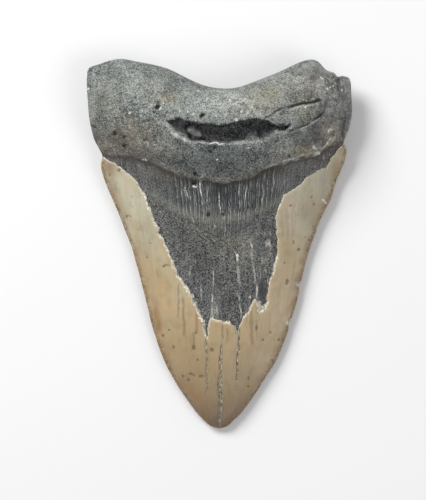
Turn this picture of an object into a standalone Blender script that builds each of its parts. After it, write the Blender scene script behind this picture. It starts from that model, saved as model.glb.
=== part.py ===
"""A fossil megalodon tooth, one solid piece, lying on its flatter face with the domed face up.

The root points to +Y and the tip to -Y. The surface that the tooth lies on is Z = 0, and the
origin is on that surface, under the middle of the tooth. Lengths here are in millimetres, and
the mesh is written in metres at the end.
"""

import bpy
import numpy as np
from mathutils import Vector, noise

MM = 0.001

# Driving dimensions
TOOTH_WIDTH = 87.1  # across the root
TOOTH_LENGTH = 121.7  # from the higher root lobe to the tip
ROOT_THICKNESS = 26.5  # at the swelling in the middle of the root
CROWN_BASE_THICKNESS = 20.5  # at the middle of the neck
ENAMEL_THICKNESS = 0.9

# The outline, seen from above, as (x, y) points that a smooth curve runs through.
ROOT_TOP = (
    (-43.3, 56.8), (-42.4, 58.2), (-39.4, 59.2), (-35.5, 60.5), (-31.5, 60.9), (-26.2, 59.9),
    (-20.6, 58.8), (-15.7, 57.2), (-9.7, 54.2), (-4.5, 52.1), (0.8, 51.2), (6.1, 51.6),
    (12.7, 53.9), (20.0, 56.8), (25.9, 59.6), (29.9, 60.7), (32.5, 60.0), (35.1, 57.3),
    (37.6, 56.4), (38.8, 55.1), (40.4, 55.3), (42.4, 54.8), (43.2, 53.2),
)  # fmt: skip
LEFT_SIDE = (
    (-5.3, -58.0), (-8.2, -54.7), (-13.0, -48.1), (-16.8, -41.5), (-19.6, -34.9), (-21.9, -28.3),
    (-23.6, -21.7), (-25.2, -15.1), (-26.9, -8.5), (-28.7, -1.9), (-31.2, 4.7), (-33.8, 11.3),
    (-36.6, 17.9), (-38.5, 22.9), (-39.0, 26.2), (-38.5, 29.1), (-39.4, 31.3), (-40.9, 34.1),
    (-41.9, 37.4), (-42.7, 41.7), (-43.2, 47.6), (-43.5, 52.9), (-43.3, 56.8),
)  # fmt: skip
RIGHT_SIDE = (
    (4.8, -58.2), (7.4, -55.7), (10.7, -51.4), (15.0, -44.8), (19.0, -38.2), (21.8, -31.6),
    (24.1, -24.7), (26.1, -17.4), (27.6, -10.8), (28.9, -4.9), (31.0, 1.4), (33.2, 7.3),
    (35.0, 11.0), (37.0, 15.3), (38.6, 20.5), (40.3, 24.5), (41.4, 27.8), (41.9, 31.1),
    (40.9, 33.4), (41.7, 35.7), (42.9, 39.0), (43.6, 43.6), (43.4, 48.3), (43.2, 53.2),
)  # fmt: skip
TIP = ((-5.3, -58.0), (-2.8, -60.0), (0.2, -60.8), (2.8, -60.0), (4.8, -58.2))

# Where the root meets the crown on the domed face, from left to right.
NECK = (
    (-44.0, 33.5), (-38.1, 30.4), (-34.5, 29.0), (-26.2, 28.1), (-19.6, 25.8), (-13.0, 22.4),
    (-4.8, 20.5), (0.2, 19.9), (5.1, 20.4), (11.7, 22.5), (20.0, 26.3), (29.9, 29.1),
    (36.5, 32.4), (44.0, 35.5),
)  # fmt: skip
# The same line on the flat face is a shallow bow.
FLAT_FACE_NECK = ((-44.0, 31.0), (-36.0, 29.8), (-20.0, 31.0), (0.0, 32.5), (20.0, 31.5), (44.0, 32.5))

# Edge of the enamel on the domed face: down its left part, along the ragged low edge, round a
# narrow bay and up the right part. The enamel has flaked off the dentine that this encloses.
ENAMEL_EDGE = (
    (-38.4, 28.8), (-35.5, 27.2), (-32.8, 25.5), (-29.9, 23.2), (-27.2, 20.5), (-24.9, 17.2),
    (-23.6, 13.3), (-21.6, 8.3), (-18.0, 0.4), (-16.0, -4.5), (-14.7, -7.8), (-12.0, -12.5),
    (-7.4, -20.0), (-6.4, -23.3), (-5.1, -26.3), (-4.1, -30.9),
    (-3.4, -26.3), (-2.5, -24.0), (-0.2, -25.0), (2.8, -25.5), (4.8, -26.8), (6.1, -29.0),
    (7.1, -25.3), (8.7, -22.4), (12.0, -17.7),
    (13.2, -20.4), (14.4, -21.4), (15.3, -19.7), (16.0, -15.4),
    (16.7, -10.8), (18.3, -6.8), (19.1, -3.2), (19.0, 2.1), (18.3, 9.0), (19.3, 12.0),
    (21.0, 16.3), (23.6, 17.4), (26.6, 19.9), (29.2, 22.4), (32.2, 24.3), (35.1, 25.2),
    (36.8, 28.3), (38.8, 30.8), (40.8, 32.8),
)  # fmt: skip
# Closes that edge round the outside of the root, which has no enamel.
ROUND_THE_ROOT = ((60.0, 33.0), (60.0, 80.0), (-60.0, 80.0), (-60.0, 29.0))

# The broken-out hollow across the root, and the way its floor runs back under the upper lip.
HOLLOW = (
    (-18.6, 41.0), (-16.3, 40.9), (-13.0, 41.0), (-8.1, 40.3), (-3.1, 39.4), (1.8, 39.2),
    (5.1, 39.8), (8.4, 41.0), (12.7, 41.3), (15.7, 41.0), (18.0, 39.6), (21.3, 39.6),
    (24.9, 40.5), (21.9, 37.9), (19.3, 37.5), (16.7, 35.9), (14.0, 34.7), (11.4, 35.4),
    (6.8, 34.4), (0.2, 33.7), (-6.4, 34.1), (-11.1, 34.6), (-14.4, 36.4), (-16.7, 38.9),
)  # fmt: skip
HOLLOW_DEPTH = 6.0
HOLLOW_WALL = (-0.1, 1.6)  # how far inside its mouth the wall starts and reaches the floor
HOLLOW_UNDERCUT = 2.2
HOLLOW_FLOOR_UNEVENNESS = 0.12
HOLLOW_FLOOR_LUMP_SIZE = 2.5

# Cracks and the groove inside the end rib: a line of points, the depth and half the width.
GROOVES = (
    (((14.0, 41.2), (20.0, 44.0), (26.6, 46.4), (34.2, 47.5)), 1.0, 1.0),
    (((23.9, 37.0), (28.5, 39.6), (32.8, 42.0), (35.5, 44.6)), 0.8, 1.2),
    (((38.6, 56.0), (38.6, 51.0), (39.6, 46.0), (39.9, 39.0)), 0.6, 1.2),
    (((-44.0, 39.5), (-41.5, 38.4), (-39.0, 37.2)), 0.7, 0.7),
    (((-4.1, -29.0), (-4.0, -38.2), (-4.1, -50.0)), 0.5, 0.6),
    (((0.8, -27.0), (0.8, -34.9), (0.5, -44.1), (0.3, -60.0)), 0.6, 0.7),
    (((6.3, -28.0), (6.3, -38.2), (5.8, -46.4)), 0.5, 0.6),
)
# Round pits: centre, radius and depth.
PITS = (
    ((-19.8, 45.3), 1.0, 1.2), ((-5.4, 42.6), 0.9, 1.0), ((-1.8, 31.8), 1.1, 1.0),
    ((-8.1, 19.9), 0.9, 0.9), ((-3.8, 9.7), 0.9, 0.6), ((1.0, 9.3), 0.8, 0.6),
    ((-34.5, 36.7), 1.3, 0.7), ((-30.9, 32.8), 1.2, 0.6),
)  # fmt: skip
PIT_FLOOR = 0.2  # share of a pit's radius that is level floor
RELIEF_EASE = 1.5  # cracks and the end rib fade out over this distance to the outline

# Heights above the resting surface along the middle of the tooth, as (y, z) points.
DOMED_MIDDLE = (
    (-60.8, 3.0), (-57.0, 5.0), (-50.0, 7.3), (-40.0, 9.9), (-25.0, 12.9), (-10.0, 15.6),
    (5.0, 18.2), (15.0, CROWN_BASE_THICKNESS), (24.0, 22.6), (32.0, 25.0),
    (38.0, ROOT_THICKNESS), (44.0, 26.0), (52.0, 23.5), (62.0, 20.0),
)  # fmt: skip
FLAT_MIDDLE = (
    (-60.8, 1.8), (-54.0, 0.7), (-44.0, -0.05), (-30.0, -0.35), (-12.0, -0.3), (2.0, 0.1),
    (15.0, 0.9), (27.0, 1.6), (40.0, 2.4), (52.0, 3.0), (62.0, 3.2),
)  # fmt: skip
# Height of the outline itself: the cutting edges, and the waist of the root.
EDGE_HEIGHT = (
    (-60.8, 2.4), (-50.0, 2.4), (-30.0, 2.6), (0.0, 3.2), (18.0, 4.0), (27.0, 5.6),
    (36.0, 8.8), (48.0, 9.6), (62.0, 9.2),
)  # fmt: skip

# The blade's cross-section
DOME_FULLNESS = 1.9  # higher keeps the dome high further towards the cutting edges
DOME_RUN_OUT = 1.12  # above 1 the dome runs out to the cutting edges at a flatter angle
FLAT_BOW = 2.4  # how far across the flat face stays level: more with a higher value
FLAT_BOW_MORE_BY_ROOT = 3.0
FLAT_BOW_RUN = (-10.0, 28.0)  # where along the tooth that change takes place
ENAMEL_WALL = (-0.1, 0.5)  # how far past its broken edge the enamel starts and has its thickness
ENAMEL_ON_FLAT_FACE = 0.5  # share of the thickness that shows as a ledge at the flat face's neck
FLAT_ENAMEL_WALL = (-0.3, 0.3)
EDGE_EASE = 2.5  # the enamel thins out over this distance to the cutting edges

# The root
LOBE_DROP = 5.6  # how much lower the lobes are than the middle of the root, on top
LOBE_DROP_BY_NECK = 11.0  # the same where they run down to the crown
LOBE_X = 36.0
LOBE_DROP_END = 1.2  # outside this share of LOBE_X the lobes get no lower
LOBE_FOOT = (28.0, 43.0)  # middle of each lobe's footprint on the resting surface
LOBE_FOOT_REACH = (20.0, 15.0)
LOBE_FOOT_LOW = -0.4  # the lobes and the blade are worn to a small flat where they touch down
ROOT_ROUND_TOP = 10.0  # how far in from the outline the root is rounded off
ROOT_ROUND_BY_NECK = 19.0  # the same where the root runs into the crown
ROOT_ROUND_UNDER = 8.5
NECK_FADE = 17.0  # how far above the neck the root has its full shape
NECK_SHELF = 0.7  # the root stands this much proud of the crown
NECK_STEP = 2.2  # half the width of that step, in the middle and at the sides
NECK_STEP_AT_SIDES = 6.5
FLAT_NECK_STEP = 5.0
NECK_CHANNEL = 0.6  # depth of a shallow channel in the crown just below the neck
NECK_CHANNEL_Y = -3.0
NECK_CHANNEL_WIDTH = 4.5
END_RIB_X = (38.2, 40.2)  # right of this slope a low rib forms the end of the right lobe
END_RIB_Y = (33.0, 39.0)  # and it starts between these heights in the plan
END_RIB_DROP = 1.6
LUMP_SIZE = 13.0
LUMP_HEIGHT = 0.6
LUMP_EASE = 5.0  # the lumps fade out over this distance to the outline
LUMP_LAYER = 3.0  # slices of the noise that the lumps and the hollow's floor are taken from
FLOOR_LAYER = 7.0

# The mesh
COLUMNS = 150
ROWS = 230
CROWDING_ACROSS = 0.75  # how much closer together the grid's lines are near the outline
CROWDING_ALONG = 0.45
OUTLINE_STEPS = 300
CURVE_STEPS = 24  # points between two given ones
ON_OUTLINE = 0.01  # points nearer the outline than this count as on it
CREASE_SOFTNESS = 4.0  # lower makes the distance from the outline rounder along its middle
TRIANGLES = 9800
LEVEL_BELOW = 0.02  # points lower than this are brought down to the resting surface

MEAN_COLOUR = (0.26, 0.23, 0.19, 1)
MEAN_ROUGHNESS = 0.6


def smooth_step(low, high, value):
    """0 below low, 1 above high, and an even curve between."""
    t = np.clip((value - low) / (high - low), 0, 1)
    return t * t * (3 - 2 * t)


def curve_through(points, closed=False):
    """Close points on a Catmull-Rom curve through the given ones."""
    p = np.array(points, float)
    if closed:
        padded = np.vstack([p[-1], p, p[0], p[1]])
    else:
        padded = np.vstack([2 * p[0] - p[1], p, 2 * p[-1] - p[-2]])
    t = np.linspace(0, 1, CURVE_STEPS, endpoint=False)[:, None]
    spans = []
    for a, b, c, d in zip(padded, padded[1:], padded[2:], padded[3:]):
        bend = (2 * a - 5 * b + 4 * c - d) * t**2 + (3 * b - a - 3 * c + d) * t**3
        spans.append(0.5 * (2 * b + (c - a) * t + bend))
    if not closed:
        spans.append(p[-1:])
    return np.vstack(spans)


def along(points, shares):
    """Points at these shares of a smooth curve's length."""
    curve = curve_through(points)
    steps = np.linalg.norm(np.diff(curve, axis=0), axis=1)
    length = np.concatenate([[0], np.cumsum(steps)])
    return np.stack([np.interp(shares * length[-1], length, curve[:, k]) for k in (0, 1)], 1)


def profile(points, position):
    """Height of a smooth profile at each position."""
    curve = curve_through(points)
    return np.interp(position, curve[:, 0], curve[:, 1])


def distance_to(line, x, y):
    """Distance from each (x, y) to a line of points."""
    nearest = np.full(x.shape, np.inf)
    for (ax, ay), (bx, by) in zip(line, line[1:]):
        dx, dy = bx - ax, by - ay
        t = np.clip(((x - ax) * dx + (y - ay) * dy) / max(dx * dx + dy * dy, 1e-12), 0, 1)
        nearest = np.minimum(nearest, np.hypot(x - ax - t * dx, y - ay - t * dy))
    return nearest


def depth_inside(loop, x, y):
    """Distance to a closed loop of points, positive inside it and negative outside."""
    inside = np.zeros(x.shape, bool)
    ends = np.roll(loop, -1, axis=0)
    for (ax, ay), (bx, by) in zip(loop, ends):
        if ay != by:
            crosses = (ay > y) != (by > y)
            inside ^= crosses & (x < (bx - ax) * (y - ay) / (by - ay) + ax)
    distance = distance_to(np.vstack([loop, loop[:1]]), x, y)
    return np.where(inside, distance, -distance)


def lumps(x, y, size, layer):
    """Slow unevenness from -1 to 1."""
    values = [noise.noise(Vector((a / size, b / size, layer))) for a, b in zip(x.flat, y.flat)]
    return np.array(values).reshape(x.shape)


def spread(count, crowding):
    """count + 1 shares from 0 to 1, closer together towards both ends."""
    even = np.linspace(0, 1, count + 1)
    return even + crowding * (0.5 - 0.5 * np.cos(np.pi * even) - even)


def plan_grid():
    """The tooth seen from above, as a grid of (x, y) whose rows run across and follow the outline."""
    s = spread(COLUMNS, CROWDING_ACROSS)
    t = spread(ROWS, CROWDING_ALONG)
    left, right = along(LEFT_SIDE, t), along(RIGHT_SIDE, t)
    tip, top = along(TIP, s), along(ROOT_TOP, s)
    s, t = s[None, :, None], t[:, None, None]
    sides = (1 - s) * left[:, None] + s * right[:, None]
    ends = (1 - t) * tip[None] + t * top[None]
    corners = (1 - t) * ((1 - s) * tip[0] + s * tip[-1]) + t * ((1 - s) * top[0] + s * top[-1])
    plan = sides + ends - corners
    across = np.broadcast_to(2 * s[..., 0] - 1, plan.shape[:2])
    return plan[..., 0], plan[..., 1], across


def distance_in(runs, x, y):
    """Distance in from the outline, with no crease where two of its runs are equally near."""
    near = [np.maximum(distance_to(run, x, y), ON_OUTLINE) for run in runs]
    inset = sum(distance**-CREASE_SOFTNESS for distance in near) ** (-1 / CREASE_SOFTNESS)
    inset[0], inset[-1], inset[:, 0], inset[:, -1] = 0, 0, 0, 0
    return inset


def rounding(inset, radius):
    """Share of the full height at this inset from the outline, for a quarter-round edge."""
    return np.sqrt(1 - (1 - np.clip(inset / radius, 0, 1)) ** 2)


def above_neck(line, x, y):
    """Height in the plan above the neck line, in millimetres."""
    return y - profile(line, x)


def domed_face(x, y, across, inset):
    """Height of the upper face, with the root, neck, enamel, hollow, grooves and pits."""
    edge = profile(EDGE_HEIGHT, y)
    middle = profile(DOMED_MIDDLE, y)
    over_neck = above_neck(NECK, x, y)
    dome = (1 - np.abs(across) ** DOME_FULLNESS) ** DOME_RUN_OUT
    blade = edge + (middle - NECK_SHELF - edge) * dome
    channel = np.exp(-(((over_neck - NECK_CHANNEL_Y) / NECK_CHANNEL_WIDTH) ** 2))
    blade -= NECK_CHANNEL * channel * dome

    full = smooth_step(0, NECK_FADE, over_neck)
    drop = LOBE_DROP_BY_NECK + (LOBE_DROP - LOBE_DROP_BY_NECK) * full
    lobe_middle = middle - drop * np.clip(np.abs(x) / LOBE_X, 0, LOBE_DROP_END) ** 2
    round_off = ROOT_ROUND_BY_NECK + (ROOT_ROUND_TOP - ROOT_ROUND_BY_NECK) * full
    root = edge + (lobe_middle - edge) * rounding(inset, round_off)
    root += LUMP_HEIGHT * lumps(x, y, LUMP_SIZE, LUMP_LAYER) * smooth_step(0, LUMP_EASE, inset)
    rib = smooth_step(*END_RIB_X, x) * smooth_step(*END_RIB_Y, y)
    root -= END_RIB_DROP * rib * smooth_step(0, RELIEF_EASE, inset)

    step = NECK_STEP + (NECK_STEP_AT_SIDES - NECK_STEP) * across**2
    share = smooth_step(-step, step, over_neck)
    height = blade * (1 - share) + root * share

    bare = depth_inside(np.vstack([ENAMEL_EDGE, ROUND_THE_ROOT]), x, y)
    height += ENAMEL_THICKNESS * smooth_step(*ENAMEL_WALL, -bare) * smooth_step(0, EDGE_EASE, inset)
    for line, depth, half_width in GROOVES:
        off = distance_to(curve_through(line), x, y)
        height -= depth * (1 - smooth_step(0, half_width, off)) * smooth_step(0, RELIEF_EASE, inset)
    for (pit_x, pit_y), radius, depth in PITS:
        off = np.hypot(x - pit_x, y - pit_y)
        height -= depth * (1 - smooth_step(PIT_FLOOR * radius, radius, off))
    return height


def hollow_depth(x, y):
    """How deep the root's broken-out hollow is, and how far its points move under the lip."""
    inside = depth_inside(curve_through(HOLLOW, closed=True), x, y)
    share = smooth_step(*HOLLOW_WALL, inside)
    floor = 1 + HOLLOW_FLOOR_UNEVENNESS * lumps(x, y, HOLLOW_FLOOR_LUMP_SIZE, FLOOR_LAYER)
    return HOLLOW_DEPTH * share * floor, HOLLOW_UNDERCUT * share


def flat_face(x, y, across, inset):
    """Height of the lower face, worn level where the blade and both lobes touch down."""
    edge = profile(EDGE_HEIGHT, y)
    middle = profile(FLAT_MIDDLE, y)
    bow = FLAT_BOW + FLAT_BOW_MORE_BY_ROOT * smooth_step(*FLAT_BOW_RUN, y)
    blade = middle + (edge - middle) * np.abs(across) ** bow
    foot_x, foot_y = LOBE_FOOT
    reach_x, reach_y = LOBE_FOOT_REACH
    to_foot = np.hypot((np.abs(x) - foot_x) / reach_x, (y - foot_y) / reach_y)
    under_root = LOBE_FOOT_LOW + (middle - LOBE_FOOT_LOW) * smooth_step(0, 1, to_foot)
    root = edge + (under_root - edge) * rounding(inset, ROOT_ROUND_UNDER)
    over_neck = above_neck(FLAT_FACE_NECK, x, y)
    share = smooth_step(-FLAT_NECK_STEP, FLAT_NECK_STEP, over_neck)
    height = blade * (1 - share) + root * share
    ledge = ENAMEL_ON_FLAT_FACE * ENAMEL_THICKNESS * smooth_step(*FLAT_ENAMEL_WALL, over_neck)
    height += ledge * smooth_step(0, EDGE_EASE, inset)
    return np.maximum(height, 0)


def sheet_faces(index, upper):
    """Four-sided faces between neighbouring rows and columns of a grid of vertex numbers."""
    a, b = index[:-1, :-1], index[:-1, 1:]
    c, d = index[1:, 1:], index[1:, :-1]
    corners = (a, b, c, d) if upper else (a, d, c, b)
    return np.stack(corners, -1).reshape(-1, 4)


def tooth_shape():
    """Vertices in millimetres and faces of the whole closed surface."""
    x, y, across = plan_grid()
    even = np.linspace(0, 1, OUTLINE_STEPS)
    runs = [along(run, even) for run in (LEFT_SIDE, ROOT_TOP, RIGHT_SIDE, TIP)]
    inset = distance_in(runs, x, y)
    top = domed_face(x, y, across, inset)
    depth, undercut = hollow_depth(x, y)
    under = flat_face(x, y, across, inset)

    upper = np.stack([x, y + undercut, top - depth], -1)
    lower = np.stack([x, y, under], -1)
    rows, columns = x.shape
    upper_index = np.arange(rows * columns).reshape(rows, columns)
    lower_index = upper_index.copy()
    inner = (rows - 2) * (columns - 2)
    lower_index[1:-1, 1:-1] = rows * columns + np.arange(inner).reshape(rows - 2, columns - 2)
    vertices = np.vstack([upper.reshape(-1, 3), lower[1:-1, 1:-1].reshape(-1, 3)])
    faces = np.vstack([sheet_faces(upper_index, True), sheet_faces(lower_index, False)])
    return to_size(vertices), faces


def to_size(vertices):
    """The points brought to the driving width, length and thickness, round the origin."""
    low, high = vertices.min(0), vertices.max(0)
    middle_foot = np.array([(low[0] + high[0]) / 2, (low[1] + high[1]) / 2, low[2]])
    size = np.array([TOOTH_WIDTH, TOOTH_LENGTH, ROOT_THICKNESS])
    return (vertices - middle_foot) * size / (high - low)


def fossil_material():
    material = bpy.data.materials.new("fossil")
    material.use_nodes = True
    shader = material.node_tree.nodes["Principled BSDF"]
    shader.inputs["Base Color"].default_value = MEAN_COLOUR
    shader.inputs["Roughness"].default_value = MEAN_ROUGHNESS
    shader.inputs["Metallic"].default_value = 0.0
    return material


def thin_out(tooth):
    """Brings the fine grid down to flat facets that keep its ledges, and levels its feet."""
    share = TRIANGLES / sum(len(face.vertices) - 2 for face in tooth.data.polygons)
    fewer = tooth.modifiers.new("fewer", "DECIMATE")
    fewer.ratio = share
    bpy.context.view_layer.objects.active = tooth
    tooth.select_set(True)
    bpy.ops.object.modifier_apply(modifier=fewer.name)
    for vertex in tooth.data.vertices:
        if vertex.co.z < LEVEL_BELOW * MM:
            vertex.co.z = 0


def main():
    for old in list(bpy.data.objects):
        bpy.data.objects.remove(old)
    vertices, faces = tooth_shape()
    mesh = bpy.data.meshes.new("tooth")
    mesh.from_pydata((vertices * MM).tolist(), [], faces.tolist())
    mesh.materials.append(fossil_material())
    tooth = bpy.data.objects.new("tooth", mesh)
    bpy.context.scene.collection.objects.link(tooth)
    thin_out(tooth)
    tooth.data.shade_smooth()


main()
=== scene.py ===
import bpy
import numpy as np
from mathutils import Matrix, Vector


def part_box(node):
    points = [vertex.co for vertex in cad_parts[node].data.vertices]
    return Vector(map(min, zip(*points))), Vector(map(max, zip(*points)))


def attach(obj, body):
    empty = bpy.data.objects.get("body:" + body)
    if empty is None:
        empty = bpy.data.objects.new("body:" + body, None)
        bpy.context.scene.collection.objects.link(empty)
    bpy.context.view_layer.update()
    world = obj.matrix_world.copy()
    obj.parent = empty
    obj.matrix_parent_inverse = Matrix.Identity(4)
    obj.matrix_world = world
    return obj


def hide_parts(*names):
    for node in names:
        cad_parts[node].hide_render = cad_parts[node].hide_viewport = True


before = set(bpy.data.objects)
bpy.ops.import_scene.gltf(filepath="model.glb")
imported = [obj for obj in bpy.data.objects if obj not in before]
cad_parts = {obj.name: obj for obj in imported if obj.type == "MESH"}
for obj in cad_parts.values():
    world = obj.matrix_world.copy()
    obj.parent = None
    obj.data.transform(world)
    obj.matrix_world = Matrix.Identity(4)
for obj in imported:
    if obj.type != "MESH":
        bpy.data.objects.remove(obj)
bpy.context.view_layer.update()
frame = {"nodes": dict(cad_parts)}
toothLow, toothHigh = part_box("tooth")
mm = 0.001
print("frame loaded:", ", ".join(frame["nodes"]))

tooth = {
    "columns": 300,  # squares of the fine sheets, across and along the tooth
    "rows": 430,
    "crowdingAcross": 0.6,  # how much closer together they are near the outline
    "crowdingAlong": 0.3,
    "triangles": 190000,  # after the smooth parts are thinned out
    "rimThickness": 0.35,
    "enamelThickness": 0.8,
    "enamelRaggedness": 0.45,
    "crownBaseThickness": 20.5,
    "rootThickness": 26.5,
    "lobeDrop": 5.6,
    "lobeDropByNeck": 11.0,
    "neckShelf": 0.7,
    "neckChannel": 0.6,  # depth of the shallow dip below the neck, how far below, and its width
    "channelBelowNeck": 3.0,
    "channelWidth": 4.5,
    "domePowers": (1.9, 1.12),  # how square the crown's section is, and how it falls to the edges
    "lobeHalfWidth": 36.0,
    "rootRoundingByNeck": 19.0,
    "rootRounding": 10.0,
    "rootSlope": 17.0,  # the lobes have their full shape this far above the neck
    "rootUnevenness": (0.6, 13.0),  # amount and size
    "endRibStep": 1.6,  # at the broken corner: its height, and where it runs
    "endRibFrom": (38.2, 40.2),
    "endRibAbove": (33, 39),
    "neckSlope": (2.2, 4.3),  # its half width in the middle, and how much it grows to the sides
    "neckLedge": 0.35,
    "neckRaggedness": ((0.5, 2.2), (0.25, 0.8)),  # amount and size of each noise
    "flatNeckRaggedness": ((0.4, 2.4), (0.25, 0.9)),
    "mouthRaggedness": ((0.25, 1.6), (0.2, 0.6)),
    "bandRaggedness": ((0.4, 2.5),),
    "pitRaggedness": ((0.3, 1.0),),
    "floorUnevenness": ((0.16, 2.5), (0.1, 0.9)),
    "bandMiddle": 3.0,
    "flatBow": (2.4, 3.0),  # how square the lower face's section is at the tip, and how much more at the neck
    "footPlace": (28.0, 43.0),  # where each lobe touches down, how wide it is there, and how high
    "footReach": (20.0, 15.0),
    "footHeight": -0.4,
    "flatRounding": 8.5,
    "flatSlope": 5.0,
    "flatNeckStep": 0.45,
    "edgeChips": ((-13.4, 1.1, 0.7), (-26.0, 1.3, 0.5), (5.6, 0.7, 0.3)),  # along y: place, reach, depth
    "hollowDepth": 6.0,
    "hollowUndercut": 2.0,
    "blockHeight": 3.4,  # of the stone left in the hollow, above the floor at its left end
    "blockSlope": -0.12,
    "striaDepth": 0.09,
    "bowDepth": 0.22,
    "enamelRipple": 0.03,
    "crumbDepth": 0.35,
    "foldDepth": 0.14,
    "spotDepth": 0.15,
    "lipDepth": 0.4,
    "hairCrack": (0.18, 0.3, 0.6),  # depth, half width and darkness of the lower face's cracks
    "crackWobble": 0.3,
    "veinWobble": 0.1,
    "serrationPitch": 0.85,
    "serrationDepth": 0.35,
    "rootLumps": (0.45, 3.4),  # strength and size of each displacement
    "rootGrain": (0.3, 0.9),
    "dentineGrain": (0.06, 0.7),
    "boxMargin": 0.3,  # how far the grain may stand past the frame's box
    "rootSpeckle": {"Grain Size": 0.38, "Flecks": 1.3, "Pits": 0.9},
    "dentineSpeckle": {"Grain Size": 0.3, "Flecks": 0.45, "Pits": 0.15},
    "enamelSilk": {"Spacing": 0.9, "Length": 14.0},
    "dentineWisps": {"Spacing": 1.1, "Length": 12.0},
    "boldStriae": {"Spacing": 0.8, "Length": 7.0},
    "slightStriae": {"Spacing": 0.45, "Length": 5.0},
    "boldStriaLight": 0.56,
    "slightStriaLight": 0.3,
    "rimCrumble": 0.8,
    "dullRoughness": 0.72,
    "enamelRoughness": 0.36,
    "specular": 0.45,
    "reliefStrength": 0.8,
    "reliefDistance": 0.35,
    "rootTone": (0.74, 0.1, 0.16),  # shares of the grain, the blotches and the clouds
    "rubbedTone": (0.34, 0.36, 0.3),
    "dentineTone": (0.62, 0.14, 0.14, 0.1),  # shares of the grain, the sand, the wisps and the blotches
    "yellowness": 0.42,
    "enamelMauve": 0.7,
    "sparkle": (0.62, 0.62, 0.61, 1),  # what lightens the pale patches, partly painted light, and what darkens the shaded ones, partly painted shade
    "bleachAndPaintedLight": (0.22, 0.22, 0.215, 1),
    "shadeTint": (0.25, 0.26, 0.28, 1),
    "hues": (("rust", 0.85, 0.3), ("olive", 0.8, 0.25)),  # how strong, and how much of it is solid paint
    "tints": {  # the colour that each patch gives, and how strongly
        "band": ("bandDark", 0.8),
        "bow": ("bow", 1.0),
        "slate": ("slate", 0.8),
        "plum": ("plum", 0.9),
        "mauve": ("mauve", 0.5),
        "neckBrown": ("neckBrown", 0.5),
        "neckPale": ("lipStone", 0.75),
        # painted sheen on the enamel
        "paintedSheen": ("paintedSheenColour", 0.6),
        "rose": ("enamelBlush", 0.8),
        "fold": ("spot", 0.75),
    },
    "noises": {  # scale, detail, roughness, and the values that give 0 and 1
        "rootClouds": (0.16, 3.0, 0.6, 0.35, 0.65),
        "rootBlotches": (0.7, 2.0, 0.6, 0.3, 0.7),
        "yellowTinge": (0.13, 3.0, 0.65, 0.5, 0.72),
        "dentineSand": (1.8, 5.0, 0.85, 0.36, 0.64),
        "dentineBlotches": (0.3, 3.0, 0.6, 0.35, 0.65),
        "rust": (0.9, 4.0, 0.7, 0.32, 0.56),
        "olive": (0.6, 4.0, 0.7, 0.38, 0.6),
        "plum": (0.9, 4.0, 0.7, 0.36, 0.58),
        "neckBrown": (0.6, 3.0, 0.7, 0.32, 0.58),
        "neckPale": (0.9, 3.0, 0.7, 0.45, 0.6),
        "veins": (1.8, 2.0, 0.7, 0.34, 0.5),
        "streakBreaks": (3.0, 3.0, 0.7, 0.4, 0.56),
        "enamelRose": (0.17, 2.0, 0.6, 0.48, 0.68),
        "enamelSmoke": (0.25, 3.0, 0.6, 0.45, 0.7),
        "enamelStain": (0.22, 3.0, 0.6, 0.36, 0.6),
        "edgeTicks": (1.1, 2.0, 0.6, 0.46, 0.56),
        "granular": (2.0, 3.0, 0.75, 0.38, 0.54),
        "rimWidth": (0.35, 3.0, 0.7, 0.4, 0.6),
        "chips": (1.3, 3.0, 0.75, 0.42, 0.56),
    },
    "edges": {  # scale and amount of the fraying, the distances that give 0 and the top, and the top
        "pit": (0.9, 1.4, 0.2, -0.5, 0.85),
        "darkSpot": (1.3, 0.9, 0.3, -0.1, 0.75),
        "lightSpot": (1.6, 0.9, 0.12, -0.12, 0.9),
        "overMouth": (1.5, 0.9, 0.3, 1.05, 0.9),
        "hollow": (1.5, 0.5, 0.0, 0.4, 1.0),
    },
    "colours": {  # 8-bit sRGB
        "rootDark": (44, 48, 49),
        "rootLight": (166, 173, 168),
        "rootFleck": (226, 226, 220),
        "rootPit": (34, 35, 35),
        "rust": (132, 116, 99),
        "plum": (72, 62, 66),
        "neckBrown": (98, 76, 70),
        "yellowish": (150, 142, 112),
        "olive": (132, 124, 96),
        "slate": (78, 82, 88),
        "dentineDark": (24, 26, 29),
        "dentineLight": (138, 139, 135),
        "bandDark": (36, 41, 49),
        "bow": (138, 140, 128),
        "stria": (232, 233, 224),
        # partly real colour, partly painted sheen, by the root
        "enamelPearlAndSheen": (182, 176, 152),
        "enamelGold": (180, 160, 124),
        "enamelRose": (214, 186, 172),
        "enamelSmoke": (196, 198, 196),
        "enamelBrown": (150, 132, 104),
        # partly real colour, partly painted shade, at the tip
        "enamelTip": (104, 89, 75),
        "enamelStain": (140, 110, 76),
        # the colour of the painted sheen
        "paintedSheenColour": (200, 196, 174),
        "enamelBlush": (204, 188, 168),
        "mauve": (138, 131, 135),
        "spot": (108, 90, 62),
        "broken": (250, 246, 232),
        "brokenShade": (190, 180, 156),
        "lipStone": (236, 238, 230),
        "lipShade": (112, 113, 107),
        "crackGrey": (124, 118, 104),
        "crackDark": (60, 57, 51),
        "blockStone": (112, 107, 101),
        "blockRim": (168, 165, 160),
        "hollow": (140, 140, 142),
        "hollowDark": (40, 41, 46),
        "shadow": (36, 37, 40),
    },
}

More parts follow.
